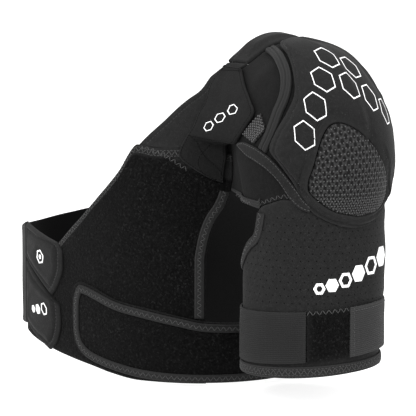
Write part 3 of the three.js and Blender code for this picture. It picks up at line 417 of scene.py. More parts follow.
class Panel:
    """One cloth wall: a grid of points on the body, raised to an inner face at low and an outer face."""

    def __init__(self, name, distance, base, low, thick, ringed=False, rim=1.3):
        self.name, self.base, self.ringed = name, base, ringed
        self.normal = unit(slope_of(distance, base))
        self.down, self.across = arcs(base, 0), arcs(closed_ring(base) if ringed else base, 1)
        self.chart = np.stack([self.across, closed_ring(self.down) if ringed else self.down], axis=-1)
        self.rims = {"b": self.down, "t": self.down[-1:] - self.down}
        if not ringed:
            self.rims |= {"l": self.across, "r": self.across[:, -1:] - self.across}
        self.near = np.minimum.reduce(list(self.rims.values()))
        self.thickness = thick * self.rounding(rim)
        level = low + self.thickness
        self.outer = settle(distance, base + self.normal * np.mean(level), level, 2)
        self.inner = settle(distance, base + self.normal * low, low, 2) if low else base
        self.tint = np.zeros(base.shape[:2])

    def rounding(self, rim):
        """Share of the thickness, less towards the rims."""
        return 0.45 + 0.55 * np.sqrt(np.clip(1 - (1 - np.clip(self.near / rim, 0, 1)) ** 2, 0, 1))

    def raise_by(self, relief):
        self.outer = self.outer + self.normal * relief[..., None]

    def ripple(self, height, wave, seed, low, high):
        """Slight unevenness, none near the rims."""
        self.raise_by(height * ripples(self.base, wave, seed) * smooth_step(low, high, self.near))

    def groove(self, side, inset, depth=0.45, width=0.9):
        self.raise_by(-depth * bell(self.rims[side], inset, width))

    def path(self, side, inset, ends=3.0, lift=0.0):
        """Points on the outer face at an inset from one side, and the normals there."""
        away, outer, normal = self.rims[side], self.outer, self.normal
        if side in "lr":
            away, outer, normal = away.T, outer.transpose(1, 0, 2), normal.transpose(1, 0, 2)
        lines = range(away.shape[1])
        found = np.array([interpolate(away[:, k], outer[:, k], inset) for k in lines])
        normals = unit(np.array([interpolate(away[:, k], normal[:, k], inset) for k in lines]))
        if self.ringed and side in "tb":
            found, normals = np.vstack([found, found[:1]]), np.vstack([normals, normals[:1]])
        elif ends:
            run = arcs(found, 0)
            keep = (run > ends) & (run < run[-1] - ends)
            found, normals = found[keep], normals[keep]
        return found + normals * lift, normals

    def sew(self, rows, sides, inset, ends, lift):
        rows += [self.path(side, inset, ends, lift) for side in sides]

    def at(self, down, across, lift=0.0):
        """Points on the outer face and normals there, at shares of the way down and across."""
        along_down = self.down.mean(axis=1)
        along_across = self.across[:, : self.base.shape[1]].mean(axis=0)
        i = np.interp(down, along_down / along_down[-1], np.arange(len(along_down)))
        j = np.interp(across, along_across / along_across[-1], np.arange(len(along_across)))
        low_i = np.minimum(i.astype(int), len(along_down) - 2)
        low_j = np.minimum(j.astype(int), len(along_across) - 2)
        di, dj = (i - low_i)[..., None], (j - low_j)[..., None]
        found = []
        for values in (self.outer, self.normal):
            near = lerp(values[low_i, low_j], values[low_i, low_j + 1], dj)
            far = lerp(values[low_i + 1, low_j], values[low_i + 1, low_j + 1], dj)
            found.append(lerp(near, far, di))
        normals = unit(found[1])
        return found[0] + normals * lift, normals

    def build(self, finish, slot):
        """Makes the closed mesh, which stands for the solid of the same name."""
        rows, columns = self.base.shape[:2]
        row, column, side = shell(rows, columns, self.ringed).transpose(2, 0, 1)
        verts = np.concatenate([self.outer.reshape(-1, 3), self.inner.reshape(-1, 3)])
        faces = (side * rows + row) * columns + column % columns
        mesh = closed_mesh(self.name, (verts - SEAT) / 1000, faces)
        layer = mesh.uv_layers.new(name="cloth")
        layer.data.foreach_set("uv", (self.chart[row, column] / 1000).astype(np.float32).reshape(-1))
        set_attribute(mesh, "near_edge", np.tile(np.exp(-self.near.reshape(-1) / 2.5), 2))
        set_attribute(mesh, "tint", np.tile(self.tint.reshape(-1), 2))
        # Marks the inner face, where the knit finish paints shade.
        set_attribute(mesh, "inside_shade", np.repeat([0, 1], rows * columns))
        outward(mesh)
        self.obj = ride(add_object(self.name, mesh, finish), slot, self.name.rpartition("_")[0])
        panels[self.name] = self
        return self.obj


def interpolate(away, values, inset):
    order = np.argsort(away)
    return np.array([np.interp(inset, away[order], values[order, k]) for k in range(3)])


def set_attribute(mesh, name, values):
    layer = mesh.attributes.new(name, "FLOAT", "POINT")
    layer.data.foreach_set("value", np.asarray(values, np.float32))


def closed_mesh(name, verts, faces):
    mesh = bpy.data.meshes.new(name)
    mesh.from_pydata(verts.tolist(), [], faces.tolist())
    mesh.polygons.foreach_set("use_smooth", np.ones(len(mesh.polygons), bool))
    mesh.update()
    return mesh


def outward(mesh):
    """Turns a closed mesh's faces out, by the sign of its volume."""
    mesh.calc_loop_triangles()
    count = len(mesh.loop_triangles)
    corners = np.empty(count * 3, np.int32)
    mesh.loop_triangles.foreach_get("vertices", corners)
    points = np.empty(len(mesh.vertices) * 3)
    mesh.vertices.foreach_get("co", points)
    a, b, c = points.reshape(-1, 3)[corners.reshape(-1, 3)].transpose(1, 0, 2)
    if np.einsum("ij,ij->", a, np.cross(b, c)) < 0:
        mesh.flip_normals()


# Camera first, at the photograph's angle
CAMERA_TURN, CAMERA_RISE = math.radians(50), math.radians(7)
CAMERA_TARGET = Vector((-0.14625, 0.0243, -0.1529))
CAMERA_FAR = 2.0
SENSOR = 36
FOCAL_PIXELS, PHOTO_PIXELS = 2192, 416


def add_camera():
    data = bpy.data.cameras.new("camera")
    camera = add_object("camera", data)
    level = math.cos(CAMERA_RISE)
    back = Vector((math.sin(CAMERA_TURN) * level, -math.cos(CAMERA_TURN) * level, math.sin(CAMERA_RISE)))
    camera.location = CAMERA_TARGET + back * CAMERA_FAR
    camera.rotation_mode = "QUATERNION"
    camera.rotation_quaternion = (-back).to_track_quat("-Z", "Y")
    data.sensor_width = SENSOR
    data.lens = SENSOR * FOCAL_PIXELS / PHOTO_PIXELS
    bpy.context.scene.camera = camera


add_camera()


class Graph:
    """Short way to add nodes to a tree and join them: a plain number is set on its socket."""

    def add(self, kind, inputs=(), **settings):
        node = self.tree.nodes.new(kind)
        for key, value in settings.items():
            setattr(node, key, value)
        for key, value in dict(inputs).items():
            if isinstance(value, bpy.types.NodeSocket):
                self.tree.links.new(value, node.inputs[key])
            else:
                node.inputs[key].default_value = value
        return node.outputs

    def math(self, operation, *terms):
        return self.add("ShaderNodeMath", enumerate(terms), operation=operation)[0]

    def times(self, a, b):
        return self.math("MULTIPLY", a, b)

    def plus(self, a, b):
        return self.math("ADD", a, b)


# Finishes: cloth greys in linear light, with grain, sheen and wear
class Finish(Graph):
    def __init__(self, name):
        self.material = bpy.data.materials.new(name)
        self.material.use_nodes = True
        self.tree = self.material.node_tree
        self.shader = self.tree.nodes["Principled BSDF"].inputs
        self.where = self.add("ShaderNodeTexCoord")["Object"]

    def attribute(self, name):
        return self.add("ShaderNodeAttribute", attribute_name=name)["Fac"]

    def mix(self, share, a, b):
        """Mixes two colours; a number is a grey."""
        a, b = [(grey, grey, grey, 1) if isinstance(grey, float) else grey for grey in (a, b)]
        return self.add("ShaderNodeMix", {0: share, 6: a, 7: b}, data_type="RGBA")[2]

    def wear(self, share, body, grey):
        """Lightens the rims of a piece."""
        return self.mix(self.times(self.attribute("near_edge"), share), body, grey)

    def span(self, value, low, high, to_low=0.0, to_high=1.0):
        ends = {"From Min": low, "From Max": high, "To Min": to_low, "To Max": to_high}
        return self.add("ShaderNodeMapRange", {"Value": value, **ends})[0]

    def noise(self, scale, detail=2.0):
        return self.add("ShaderNodeTexNoise", {"Vector": self.where, "Scale": scale, "Detail": detail})[0]

    def cells(self, scale):
        return self.add("ShaderNodeTexVoronoi", {"Vector": self.where, "Scale": scale})["Distance"]

    def chart(self):
        """The piece's own chart of the cloth, in metres across and down."""
        place = self.add("ShaderNodeUVMap", uv_map="cloth")[0]
        return list(self.add("ShaderNodeSeparateXYZ", {"Vector": place}))[:2]

    def wave(self, along, pitch, shape="SINE"):
        return self.math(shape, self.times(along, 2 * math.pi / pitch))

    def finish(self, colour, roughness, height, depth, sheen, sheen_roughness=0.4, specular=0.07):
        bump = self.add("ShaderNodeBump", {"Height": height, "Strength": 1.0, "Distance": depth})[0]
        for key, socket in (("Base Color", colour), ("Roughness", roughness), ("Normal", bump)):
            self.tree.links.new(socket, self.shader[key])
        self.shader["Sheen Weight"].default_value = sheen
        self.shader["Sheen Roughness"].default_value = sheen_roughness
        self.shader["Specular IOR Level"].default_value = specular
        return self.material


def knit_finish(name, grey, sheen=0.03, roughness=0.76):
    """Smooth knitted facing of neoprene: fine rows of loops, a soft sheen, light rims, and painted shade that
    makes the inner face much darker than the outer.
    """
    n = Finish(name)
    fine, cloud = n.noise(2400, 1.0), n.noise(26, 3.0)
    weave = n.plus(n.times(n.cells(1150), 0.7), n.times(fine, 0.5))
    body = n.mix(n.span(weave, 0.25, 0.85), grey * 1.25, grey * 0.72)
    body = n.mix(n.span(cloud, 0.35, 0.7, 0.0, 0.35), body, grey * 1.35)
    body = n.mix(n.span(n.noise(330, 4.0), 0.36, 0.64, 0.45, 0.0), body, grey * 0.45)
    body = n.mix(n.span(n.noise(800, 1.0), 0.6, 0.72, 0.0, 0.5), body, grey * 2.2)
    body = n.wear(0.28, body, grey * 2.4)
    # Painted shade: the inner face is drawn nearly black, standing for the shade inside the brace.
    body = n.mix(n.times(n.attribute("inside_shade"), 0.95), body, grey * 0.08)
    rough = n.span(n.plus(cloud, n.times(fine, 0.4)), 0.4, 1.1, roughness - 0.08, roughness + 0.1)
    return n.finish(body, rough, n.times(weave, -1.0), 0.00018, sheen)


def pile_finish(name, grey, smooth_grey):
    """Brushed loop pile: mottled clumps of fibre and light flecks; tint 1 turns it to the smooth facing."""
    n = Finish(name)
    tint = n.attribute("tint")
    clumps, fibre = n.noise(420, 4.0), n.noise(1500, 2.0)
    body = n.mix(n.span(clumps, 0.4, 0.62), grey * 0.15, grey * 1.4)
    body = n.mix(n.times(n.span(fibre, 0.55, 0.75), 0.5), body, grey * 2.3)
    body = n.mix(n.span(n.noise(560, 2.0), 0.58, 0.68, 0.0, 0.8), body, grey * 5.5)
    body = n.mix(n.times(n.span(n.cells(520), 0.0, 0.16, 1.0, 0.0), 0.35), body, grey * 3.2)
    body = n.mix(n.span(n.noise(30, 3.0), 0.35, 0.7, 0.0, 0.4), body, grey * 0.6)
    plain = n.mix(n.span(n.cells(1150), 0.25, 0.7), smooth_grey * 1.2, smooth_grey * 0.75)
    body = n.wear(0.25, n.mix(tint, body, plain), smooth_grey * 2.0)
    height = n.times(n.plus(clumps, n.times(fibre, 0.6)), n.span(tint, 0.0, 1.0, 1.0, 0.25))
    return n.finish(body, n.span(clumps, 0.3, 0.8, 0.86, 0.99), height, 0.0012, 0.02, 0.6, 0.03)


def woven_finish(name, grey, pitch_across, pitch_down, depth, sheen=0.03):
    """Woven tape or elastic: ribs along and across its own chart."""
    n = Finish(name)
    across, down = n.chart()
    ribs = n.plus(n.times(n.wave(across, pitch_across), 0.45), n.wave(down, pitch_down))
    fine = n.noise(1800, 2.0)
    body = n.mix(n.span(ribs, -1.2, 1.2), grey * 0.62, grey * 1.2)
    body = n.mix(n.span(fine, 0.4, 0.7, 0.0, 0.4), body, grey * 1.5)
    body = n.mix(n.span(n.noise(40, 2.0), 0.35, 0.7, 0.0, 0.25), body, grey * 0.7)
    body = n.wear(0.25, body, grey * 1.9)
    height = n.plus(n.times(ribs, 0.5), n.times(fine, 0.3))
    return n.finish(body, n.span(fine, 0.3, 0.8, 0.68, 0.86), height, depth, sheen)


def mesh_finish(name, grey, pitch=0.003):
    """Spacer mesh: a fine net of holes in rows 60 degrees apart, with scattered dimples; the holes and
    dimples are painted near black as painted shade where the face sinks.
    """
    n = Finish(name)
    across, down = n.chart()
    net = n.wave(across, pitch, "COSINE")
    for way in (0.866, -0.866):
        slant = n.plus(n.times(across, 0.5), n.times(down, way))
        net = n.plus(net, n.wave(slant, pitch, "COSINE"))
    thread = n.span(net, -1.2, 0.6, 1.0, 0.0)
    fine = n.noise(2200, 2.0)
    dimple = n.span(n.cells(58), 0.11, 0.22)
    # Painted shade: near black in the holes of the net and in the dimples, where the bump sinks.
    body = n.mix(thread, 0.003, grey)
    body = n.mix(n.span(fine, 0.45, 0.7, 0.0, 0.5), body, grey * 0.6)
    body = n.mix(n.span(dimple, 0.0, 1.0, 0.8, 0.0), body, 0.004)
    height = n.plus(thread, n.times(dimple, 0.6))
    return n.finish(body, n.span(fine, 0.3, 0.8, 0.6, 0.8), height, 0.0005, 0.03)


def plain_finish(name, grey, roughness, grain, sheen=0.0, spread=0.25):
    """Thread, ink and the like: one colour with a slight grain."""
    n = Finish(name)
    fine = n.noise(grain, 3.0)
    body = n.mix(n.span(fine, 0.35, 0.7), grey * (1 - spread), grey)
    return n.finish(body, n.span(fine, 0.3, 0.7, roughness - 0.06, roughness + 0.06), fine, 0.00008, sheen)


SMOOTH = knit_finish("smooth_knit", 0.0107)
STRETCH = knit_finish("stretch_knit", 0.0058, 0.015, 0.85)
STRAP = knit_finish("strap_knit", 0.0072, 0.015, 0.85)
PILE = pile_finish("loop_pile", 0.0024, 0.0107)
ELASTIC = woven_finish("ribbed_elastic", 0.014, 0.0013, 0.0016, 0.0003)
END_CLOTH = woven_finish("strap_end_cloth", 0.0238, 0.0013, 0.0016, 0.0003)
BINDING = woven_finish("binding_tape", 0.015, 0.0012, 0.0024, 0.00022)
MESH = mesh_finish("spacer_mesh", 0.0255)
KNOT = plain_finish("mesh_knots", 0.075, 0.6, 2500, 0.2)
THREAD = plain_finish("seam_thread", 0.05, 0.7, 3000, 0.2)
# Near-black for the dark stitches, and also painted shade in the sleeve's perforations.
DARK_THREAD_AND_HOLE_SHADE = plain_finish("dark_thread_and_hole_shade", 0.0022, 0.9, 3000, 0.0)
INK = plain_finish("white_ink", 0.85, 0.5, 700, 0.0, 0.05)


# Geometry Nodes trees, each with named sizes
class Tree(Graph):
    """Sets one shape on many points, turned to the attribute up."""

    def __init__(self, name, *sizes):
        self.tree = bpy.data.node_groups.new(name, "GeometryNodeTree")
        socket = self.tree.interface.new_socket
        socket("Geometry", in_out="INPUT", socket_type="NodeSocketGeometry")
        for size in sizes:
            socket(size, in_out="INPUT", socket_type="NodeSocketFloat")
        socket("Finish", in_out="INPUT", socket_type="NodeSocketMaterial")
        socket("Geometry", in_out="OUTPUT", socket_type="NodeSocketGeometry")
        self.given = self.add("NodeGroupInput")
        self.result = self.tree.nodes.new("NodeGroupOutput").inputs
        self.up = self.add("GeometryNodeInputNamedAttribute", {"Name": "up"}, data_type="FLOAT_VECTOR")[0]

    def finish(self, points, segments, size, lay):
        shape = self.add("GeometryNodeMeshUVSphere", {"Segments": segments, "Rings": 4, "Radius": 1.0})[0]
        scale = self.add("ShaderNodeCombineXYZ", enumerate(size))[0]
        shaped = self.add("GeometryNodeTransform", {"Geometry": shape, "Scale": scale})[0]
        inputs = {"Points": points, "Instance": shaped, "Rotation": lay}
        placed = self.add("GeometryNodeInstanceOnPoints", inputs)[0]
        realized = self.add("GeometryNodeRealizeInstances", {0: placed})[0]
        smooth = self.add("GeometryNodeSetShadeSmooth", {0: realized})[0]
        inputs = {"Geometry": smooth, "Material": self.given["Finish"]}
        painted = self.add("GeometryNodeSetMaterial", inputs)[0]
        self.tree.links.new(painted, self.result[0])
        return self

    def run(self, name, mesh, finish, **sizes):
        """Runs the tree on a mesh and gives the result as a plain mesh in a new object."""
        source = add_object(name + "_path", mesh)
        modifier = source.modifiers.new("maker", "NODES")
        modifier.node_group = self.tree
        for item in self.tree.interface.items_tree:
            if item.in_out == "INPUT" and item.name != "Geometry":
                modifier[item.identifier] = finish if item.name == "Finish" else sizes[item.name.lower()]
        graph = bpy.context.evaluated_depsgraph_get()
        made = bpy.data.meshes.new_from_object(source.evaluated_get(graph), depsgraph=graph)
        made.name = name
        bpy.data.objects.remove(source)
        return add_object(name, made)


def stitch_tree():
    """Threads laid end to end along a path; a slant turns every other one the other way."""
    g = Tree("stitch row", "Spacing", "Length", "Radius", "Slant")
    line = g.add("GeometryNodeMeshToCurve", {0: g.given["Geometry"]})[0]
    row = {"Curve": line, "Length": g.given["Spacing"]}
    points = g.add("GeometryNodeResampleCurve", row, mode="LENGTH")[0]
    size = (g.times(g.given["Length"], 0.5), g.given["Radius"], g.times(g.given["Radius"], 0.7))
    axes = {"Primary Axis": g.up, "Secondary Axis": g.add("GeometryNodeInputTangent")[0]}
    lay = g.add("FunctionNodeAxesToRotation", axes, primary_axis="Z", secondary_axis="X")[0]
    odd = g.math("MODULO", g.add("GeometryNodeInputIndex")[0], 2.0)
    angle = g.times(g.math("MULTIPLY_ADD", odd, 2.0, -1.0), g.given["Slant"])
    twist = g.add("FunctionNodeEulerToRotation", {0: g.add("ShaderNodeCombineXYZ", {2: angle})[0]})[0]
    both = {"Rotation": lay, "Rotate By": twist}
    return g.finish(points, 6, size, g.add("FunctionNodeRotateRotation", both, rotation_space="LOCAL")[0])


def dot_tree():
    """Low round studs on the points of a mesh, such as knots of thread, or dark studs painted where punched
    holes are, as the shade in the holes.
    """
    g = Tree("cloth dots", "Radius", "Height")
    lay = g.add("FunctionNodeAlignRotationToVector", {"Vector": g.up}, axis="Z")[0]
    size = (g.given["Radius"], g.given["Radius"], g.given["Height"])
    return g.finish(g.given["Geometry"], 8, size, lay)


STITCHES = stitch_tree()
DOTS = dot_tree()


def path_mesh(name, paths, joined=True):
    """One mesh of several paths, each a pair of points and normals, in metres from the seat."""
    verts, edges, ups, start = [], [], [], 0
    for points, normals in paths:
        verts.append((points - SEAT) / 1000)
        ups.append(normals)
        if joined:
            edges += [(start + i, start + i + 1) for i in range(len(points) - 1)]
        start += len(points)
    mesh = bpy.data.meshes.new(name)
    mesh.from_pydata(np.vstack(verts).tolist(), edges, [])
    layer = mesh.attributes.new("up", "FLOAT_VECTOR", "POINT")
    layer.data.foreach_set("vector", np.vstack(ups).astype(np.float32).reshape(-1))
    return mesh


def stitches(name, paths, finish, spacing, length, radius, slant):
    sizes = {"spacing": spacing / 1000, "length": length / 1000, "radius": radius / 1000, "slant": slant}
    return ride(STITCHES.run(name, path_mesh(name, paths), finish, **sizes), "bound_band")


def dots(name, points, normals, finish, radius, height, slot):
    mesh = path_mesh(name, [(points, normals)], False)
    return ride(DOTS.run(name, mesh, finish, radius=radius / 1000, height=height / 1000), slot)


def staggered(low, high, pitch):
    """Points of rows 60 degrees apart inside a rectangle."""
    found = [
        (u + (k % 2) * pitch / 2, v)
        for k, v in enumerate(np.arange(low[1], high[1], pitch * 0.866))
        for u in np.arange(low[0], high[0], pitch)
    ]
    return np.array(found)


straight_rows, wide_rows, dark_rows = [], [], []


def cover_seam(panel, side, inset, width, ends=3.0):
    """Flat seam: a wide zigzag between two straight rows."""
    panel.sew(straight_rows, side, inset, ends, 0.12)
    panel.sew(straight_rows, side, inset + width, ends, 0.12)
    panel.sew(wide_rows, side, inset + width / 2, ends, 0.16)


SEWN = 2.5
PUFF_FRAMES = 16


def picked(total, count):
    """Whole places spread over a total, both ends among them."""
    return np.unique(np.round(np.linspace(0, total - 1, count)).astype(int))


def puff(panel, downs, acrosses, push, growth, limit):
    """Lets the outer face swell and crease as held cloth, by simulation; limit is the most it moves out."""
    total_rows, total_columns = panel.outer.shape[:2]
    rows, columns = picked(total_rows, downs), picked(total_columns, acrosses)
    points = panel.outer[np.ix_(rows, columns)]
    r, c = len(rows), len(columns)
    row, column, _ = shell(r, c)[: (r - 1) * (c - 1)].transpose(2, 0, 1)
    mesh = closed_mesh("puff", points.reshape(-1, 3) / 1000, row * c + column)
    obj = add_object("puff", mesh)
    group = obj.vertex_groups.new(name="sewn")
    near = panel.near[np.ix_(rows, columns)].reshape(-1)
    group.add([int(k) for k in np.flatnonzero(near < SEWN)], 1.0, "REPLACE")
    settings = obj.modifiers.new("Cloth", "CLOTH").settings
    settings.quality = 6
    settings.mass = 0.25
    settings.tension_stiffness = settings.compression_stiffness = 12
    settings.shear_stiffness = 6
    settings.bending_stiffness = 0.4
    settings.use_pressure = True
    settings.uniform_pressure_force = push
    settings.vertex_group_mass = "sewn"
    settings.shrink_min = -growth
    settings.effector_weights.gravity = 0
    for number in range(1, PUFF_FRAMES + 1):
        bpy.context.scene.frame_set(number)
    graph = bpy.context.evaluated_depsgraph_get()
    moved = np.empty(r * c * 3)
    obj.evaluated_get(graph).data.vertices.foreach_get("co", moved)
    bpy.data.objects.remove(obj)
    bpy.context.scene.frame_set(1)
    rise = ((moved.reshape(r, c, 3) * 1000 - points) * panel.normal[np.ix_(rows, columns)]).sum(-1)
    rise = np.clip(np.nan_to_num(rise), -0.3 * limit, limit)
    full = np.array([np.interp(np.arange(total_columns), columns, line) for line in rise])
    full = np.array([np.interp(np.arange(total_rows), rows, line) for line in full.T]).T
    panel.raise_by(full * smooth_step(0.5, 3.0, panel.near))


def tape(name, distance, points, width, low, thick, rim=1.0, across=9):
    """Narrow tape along a path of points on the body."""
    along = unit(np.gradient(points, axis=0))
    side = unit(np.cross(along, unit(slope_of(distance, points))))
    reach = np.linspace(-0.5, 0.5, across) * width
    base = settle(distance, points[None] + side[None] * reach[:, None, None], 0.0, 3)
    return Panel(name, distance, base, low, thick, rim=rim)


class Surface:
    """Outer face of a finished piece, on which prints and stitches are laid."""

    def __init__(self, obj):
        self.tree = BVHTree.FromObject(obj, bpy.context.evaluated_depsgraph_get())

    def drop(self, points, normals, lift=0.0):
        """Moves points in along the normals until they meet the face."""
        found = []
        for p, n in zip(points, normals):
            start = Vector(((p + n * 14) - SEAT) / 1000)
            hit = self.tree.ray_cast(start, Vector(-n))[0]
            found.append(p if hit is None else np.array(hit) * 1000 + SEAT + n * lift)
        return np.array(found)


# Front and back of the body. The chest is fuzzy below a line that bends down to the armhole.
smooth_line = curve((20, 203), (42.4, 202), (47.8, 198.5), (52.4, 194), (58, 186), (70, 176))


def body_panel(name, side):
    down, across = grid(spaced(150, 2.2), spaced(210, 2.2))
    panel = Panel(name, from_torso, body_panel_chart(side)(down, across), 0.0, NEOPRENE, rim=1.6)
    panel.ripple(0.5, 55, 3 + side, 2, 14)
    return panel


chest = body_panel("chest_panel_cloth", 1)
turns = np.degrees(np.arctan2(chest.base[..., 0], -chest.base[..., 1]))
above_line = chest.base[..., 2] - smooth_line(turns)
chest.raise_by(0.7 * (1 - smooth_step(-3.5, -0.5, above_line)) * smooth_step(0.5, 3, chest.near))
chest.tint = np.maximum(smooth_step(-0.8, 0.8, above_line), 1 - smooth_step(7.0, 8.5, chest.rims["t"]))
back = body_panel("back_panel_cloth", -1)
for panel in (chest, back):
    cover_seam(panel, "t", 2.6, 4.4)
chest_obj = chest.build(PILE, "fuzzy_loop")
back.build(SMOOTH, "smooth_neoprene")


# Yoke over the shoulder: front panel, padded neck band and back yoke
def yoke_piece(name, start, end, thick):
    down, turn = grid(spaced(26, 1.3), lerp(start, end, spaced(abs(end - start) * 0.95, 1.8)))
    return Panel(name, from_limb, yoke_point(turn, down), 0.0, thick, rim=1.8)


NECK_PAD = 4.2
neck = yoke_piece("neck_band_cloth", -38, 38, NECK_PAD)
neck_ends = np.minimum(neck.rims["l"], neck.rims["r"])
neck_sides = np.minimum(neck.rims["t"], neck.rims["b"])
neck.raise_by(NECK_PAD * smooth_step(0, 9, neck_sides) * smooth_step(0, 20, neck_ends))
front = yoke_piece("front_panel_cloth", 38.9, 112.4, NEOPRENE)
rear = yoke_piece("back_yoke_cloth", -112.4, -38.9, NEOPRENE)
for panel in (front, neck, rear):
    panel.ripple(0.25, 30, 11, 1, 6)
    panel.groove("t", 6.5)
    panel.sew(straight_rows, "t", 6.5, 1.0, -0.15)
    panel.build(SMOOTH, "smooth_neoprene")

# Thin stretch cloth over the whole shoulder
rise, position = grid(spaced(130, 2.2), lerp(-BASE_END, BASE_END, spaced(330, 2.2)))
base = Panel("shoulder_base_cloth", from_limb, base_place(rise, position), 0.0, STRETCH_CLOTH)
base.outer = base.inner + (base_place(rise, position, 1.0) - base.inner) * base.thickness[..., None]
base.normal = unit(base.outer - base.inner)
base.ripple(0.35, 26, 5, 2, 12)
base.build(STRETCH, "dark_stretch")

# Sleeve, fuller behind, with rows of perforations drawn as near-black studs, painted shade for the holes
down, turn = grid(spaced(120, 1.8), np.linspace(0, 360, 241)[:-1])
edge = sleeve_top(np.abs(half_turn(turn))) * SHOULDER_RUN
place = on_shoulder(turn, lerp(sleeve_hem_run(turn), edge, down))
sleeve = Panel("sleeve_cloth", from_limb, place, 0.0, NEOPRENE, True, 1.6)
height = sleeve.base[..., 2]
creases = smooth_step(6, 25, sleeve.near) * smooth_step(60, 100, height)
sleeve.raise_by(0.55 * ripples(sleeve.base, 38, 8) * creases)
fuller = bell(half_turn(turn + 60), 0, 38) * smooth_step(62, 92, height)
sleeve.raise_by(4.5 * fuller * smooth_step(0, 26, edge - height + 6))
sleeve_obj = sleeve.build(SMOOTH, "smooth_neoprene")
sleeve_face = Surface(sleeve_obj)
holes = staggered((-80, 84), (280, 156), 6.6)
holes = holes[holes[:, 1] < sleeve_top(np.abs(half_turn(holes[:, 0]))) * SHOULDER_RUN - 13]
hole_spots = on_shoulder(holes[:, 0], holes[:, 1], NEOPRENE)
out_way = unit(slope_of(from_limb, hole_spots))
holes_at = sleeve_face.drop(hole_spots, out_way)
# The holes are not cut: near-black studs are painted on the face as the shade in each hole.
dots("sleeve_perforations", holes_at, out_way, DARK_THREAD_AND_HOLE_SHADE, 0.62, 0.1, "smooth_neoprene")


# Padded cap over the shoulder and the mesh in its window
def closed_spline(points, count):
    """Centripetal Catmull-Rom spline through a closed ring of points, count places round it."""
    total = len(points)
    where = np.arange(count) / count * total
    i = np.floor(where).astype(int)
    t = where - i
    p = [points[(i + k) % total] for k in (-1, 0, 1, 2)]
    gap = [np.maximum(np.linalg.norm(p[k + 1] - p[k], axis=-1) ** 0.5, 1e-4) for k in range(3)]
    gap = [step[:, None] for step in gap]
    t = t[:, None]
    start = (p[1] - p[0]) / gap[0] - (p[2] - p[0]) / (gap[0] + gap[1]) + (p[2] - p[1]) / gap[1]
    end = (p[2] - p[1]) / gap[1] - (p[3] - p[1]) / (gap[1] + gap[2]) + (p[3] - p[2]) / gap[2]
    start, end = start * gap[1], end * gap[1]
    square, cube = -3 * p[1] + 3 * p[2] - 2 * start - end, 2 * p[1] - 2 * p[2] + start + end
    return p[1] + start * t + square * t**2 + cube * t**3


CAP_AROUND = 300
window_edge = closed_spline(CAP_SPOKES[:, :2] * (1, SHOULDER_RUN), CAP_AROUND)
cap_edge = closed_spline(CAP_SPOKES[:, 2:] * (1, SHOULDER_RUN), CAP_AROUND)
spots = lerp(window_edge[None], cap_edge[None], spaced(60, 1.5)[:, None, None])
place = on_shoulder(spots[..., 0], spots[..., 1])
cap = Panel("shoulder_cap_cloth", from_limb, place, SECOND_LOW, CAP_EDGE, True, 1.4)
inner_rim, outer_rim = cap.rims["b"], cap.rims["t"]
cap.raise_by(CAP_PAD * smooth_step(0, 9, inner_rim) * smooth_step(0, 12, outer_rim))
cap.groove("t", 5.5, 1.1, 1.2)
cap.groove("b", 7.5, 1.7, 1.1)
behind = smooth_step(3, -8, half_turn(cap_edge[:, 0])) * smooth_step(0.6, 0.68, cap_edge[:, 1] / SHOULDER_RUN)
cap.raise_by(-behind * (1.8 * bell(outer_rim, 13.5, 1.5) + 2.8 * smooth_step(9, 22, outer_rim)))
puff(cap, 30, 150, 3.0, 0.01, 1.2)
cap_obj = cap.build(SMOOTH, "smooth_neoprene")
cap.sew(straight_rows, "t", 5.5, 0, -0.25)
cap.sew(straight_rows, "b", 7.5, 0, -0.25)

MESH_TOP = SECOND_LOW + MESH_CLOTH
centre = np.array([3, 0.612 * SHOULDER_RUN])
spread = window_edge - centre
bearing = np.unwrap(np.arctan2(spread[:, 1], spread[:, 0]))
order = np.argsort(bearing)


def window_reach(way):
    """How far the window's edge lies from its centre in the direction of each offset."""
    aim = np.arctan2(way[..., 1], way[..., 0])
    return np.interp(aim, bearing[order], np.linalg.norm(spread, axis=-1)[order], period=2 * math.pi)


b, a = grid(np.linspace(-1, 1, 61), np.linspace(-1, 1, 61))
disc = np.stack([a * np.sqrt(1 - b**2 / 2), b * np.sqrt(1 - a**2 / 2)], -1)
spots = centre + disc * (window_reach(disc) * 0.985)[..., None]
place = on_shoulder(spots[..., 0], spots[..., 1])
window = Panel("cap_mesh_cloth", from_limb, place, SECOND_LOW, MESH_CLOTH, rim=1.0)
crown = MESH_CROWN * (1 - np.clip(np.linalg.norm(disc, axis=-1), 0, 1) ** 2)
window.raise_by(crown)
window.inner = window.inner + window.normal * crown[..., None]
window.chart = np.stack([np.radians(spots[..., 0]) * SHOULDER_BALL_RADIUS, spots[..., 1]], -1)
window.build(MESH, "spacer_mesh")
knots = staggered((-45, 150), (50, 208), 2.5)
share_out = np.linalg.norm(knots - centre, axis=-1) / window_reach(knots - centre)
knots, share_out = knots[share_out < 0.955], share_out[share_out < 0.955]
foot = on_shoulder(knots[:, 0], knots[:, 1])
normals = unit(slope_of(from_limb, foot))
level = MESH_TOP + MESH_CROWN * (1 - share_out**2) - 0.05
spots = settle(from_limb, foot + normals * level[:, None], level, 2)
dots("cap_mesh_knots", spots, normals, KNOT, 0.62, 0.4, "spacer_mesh")


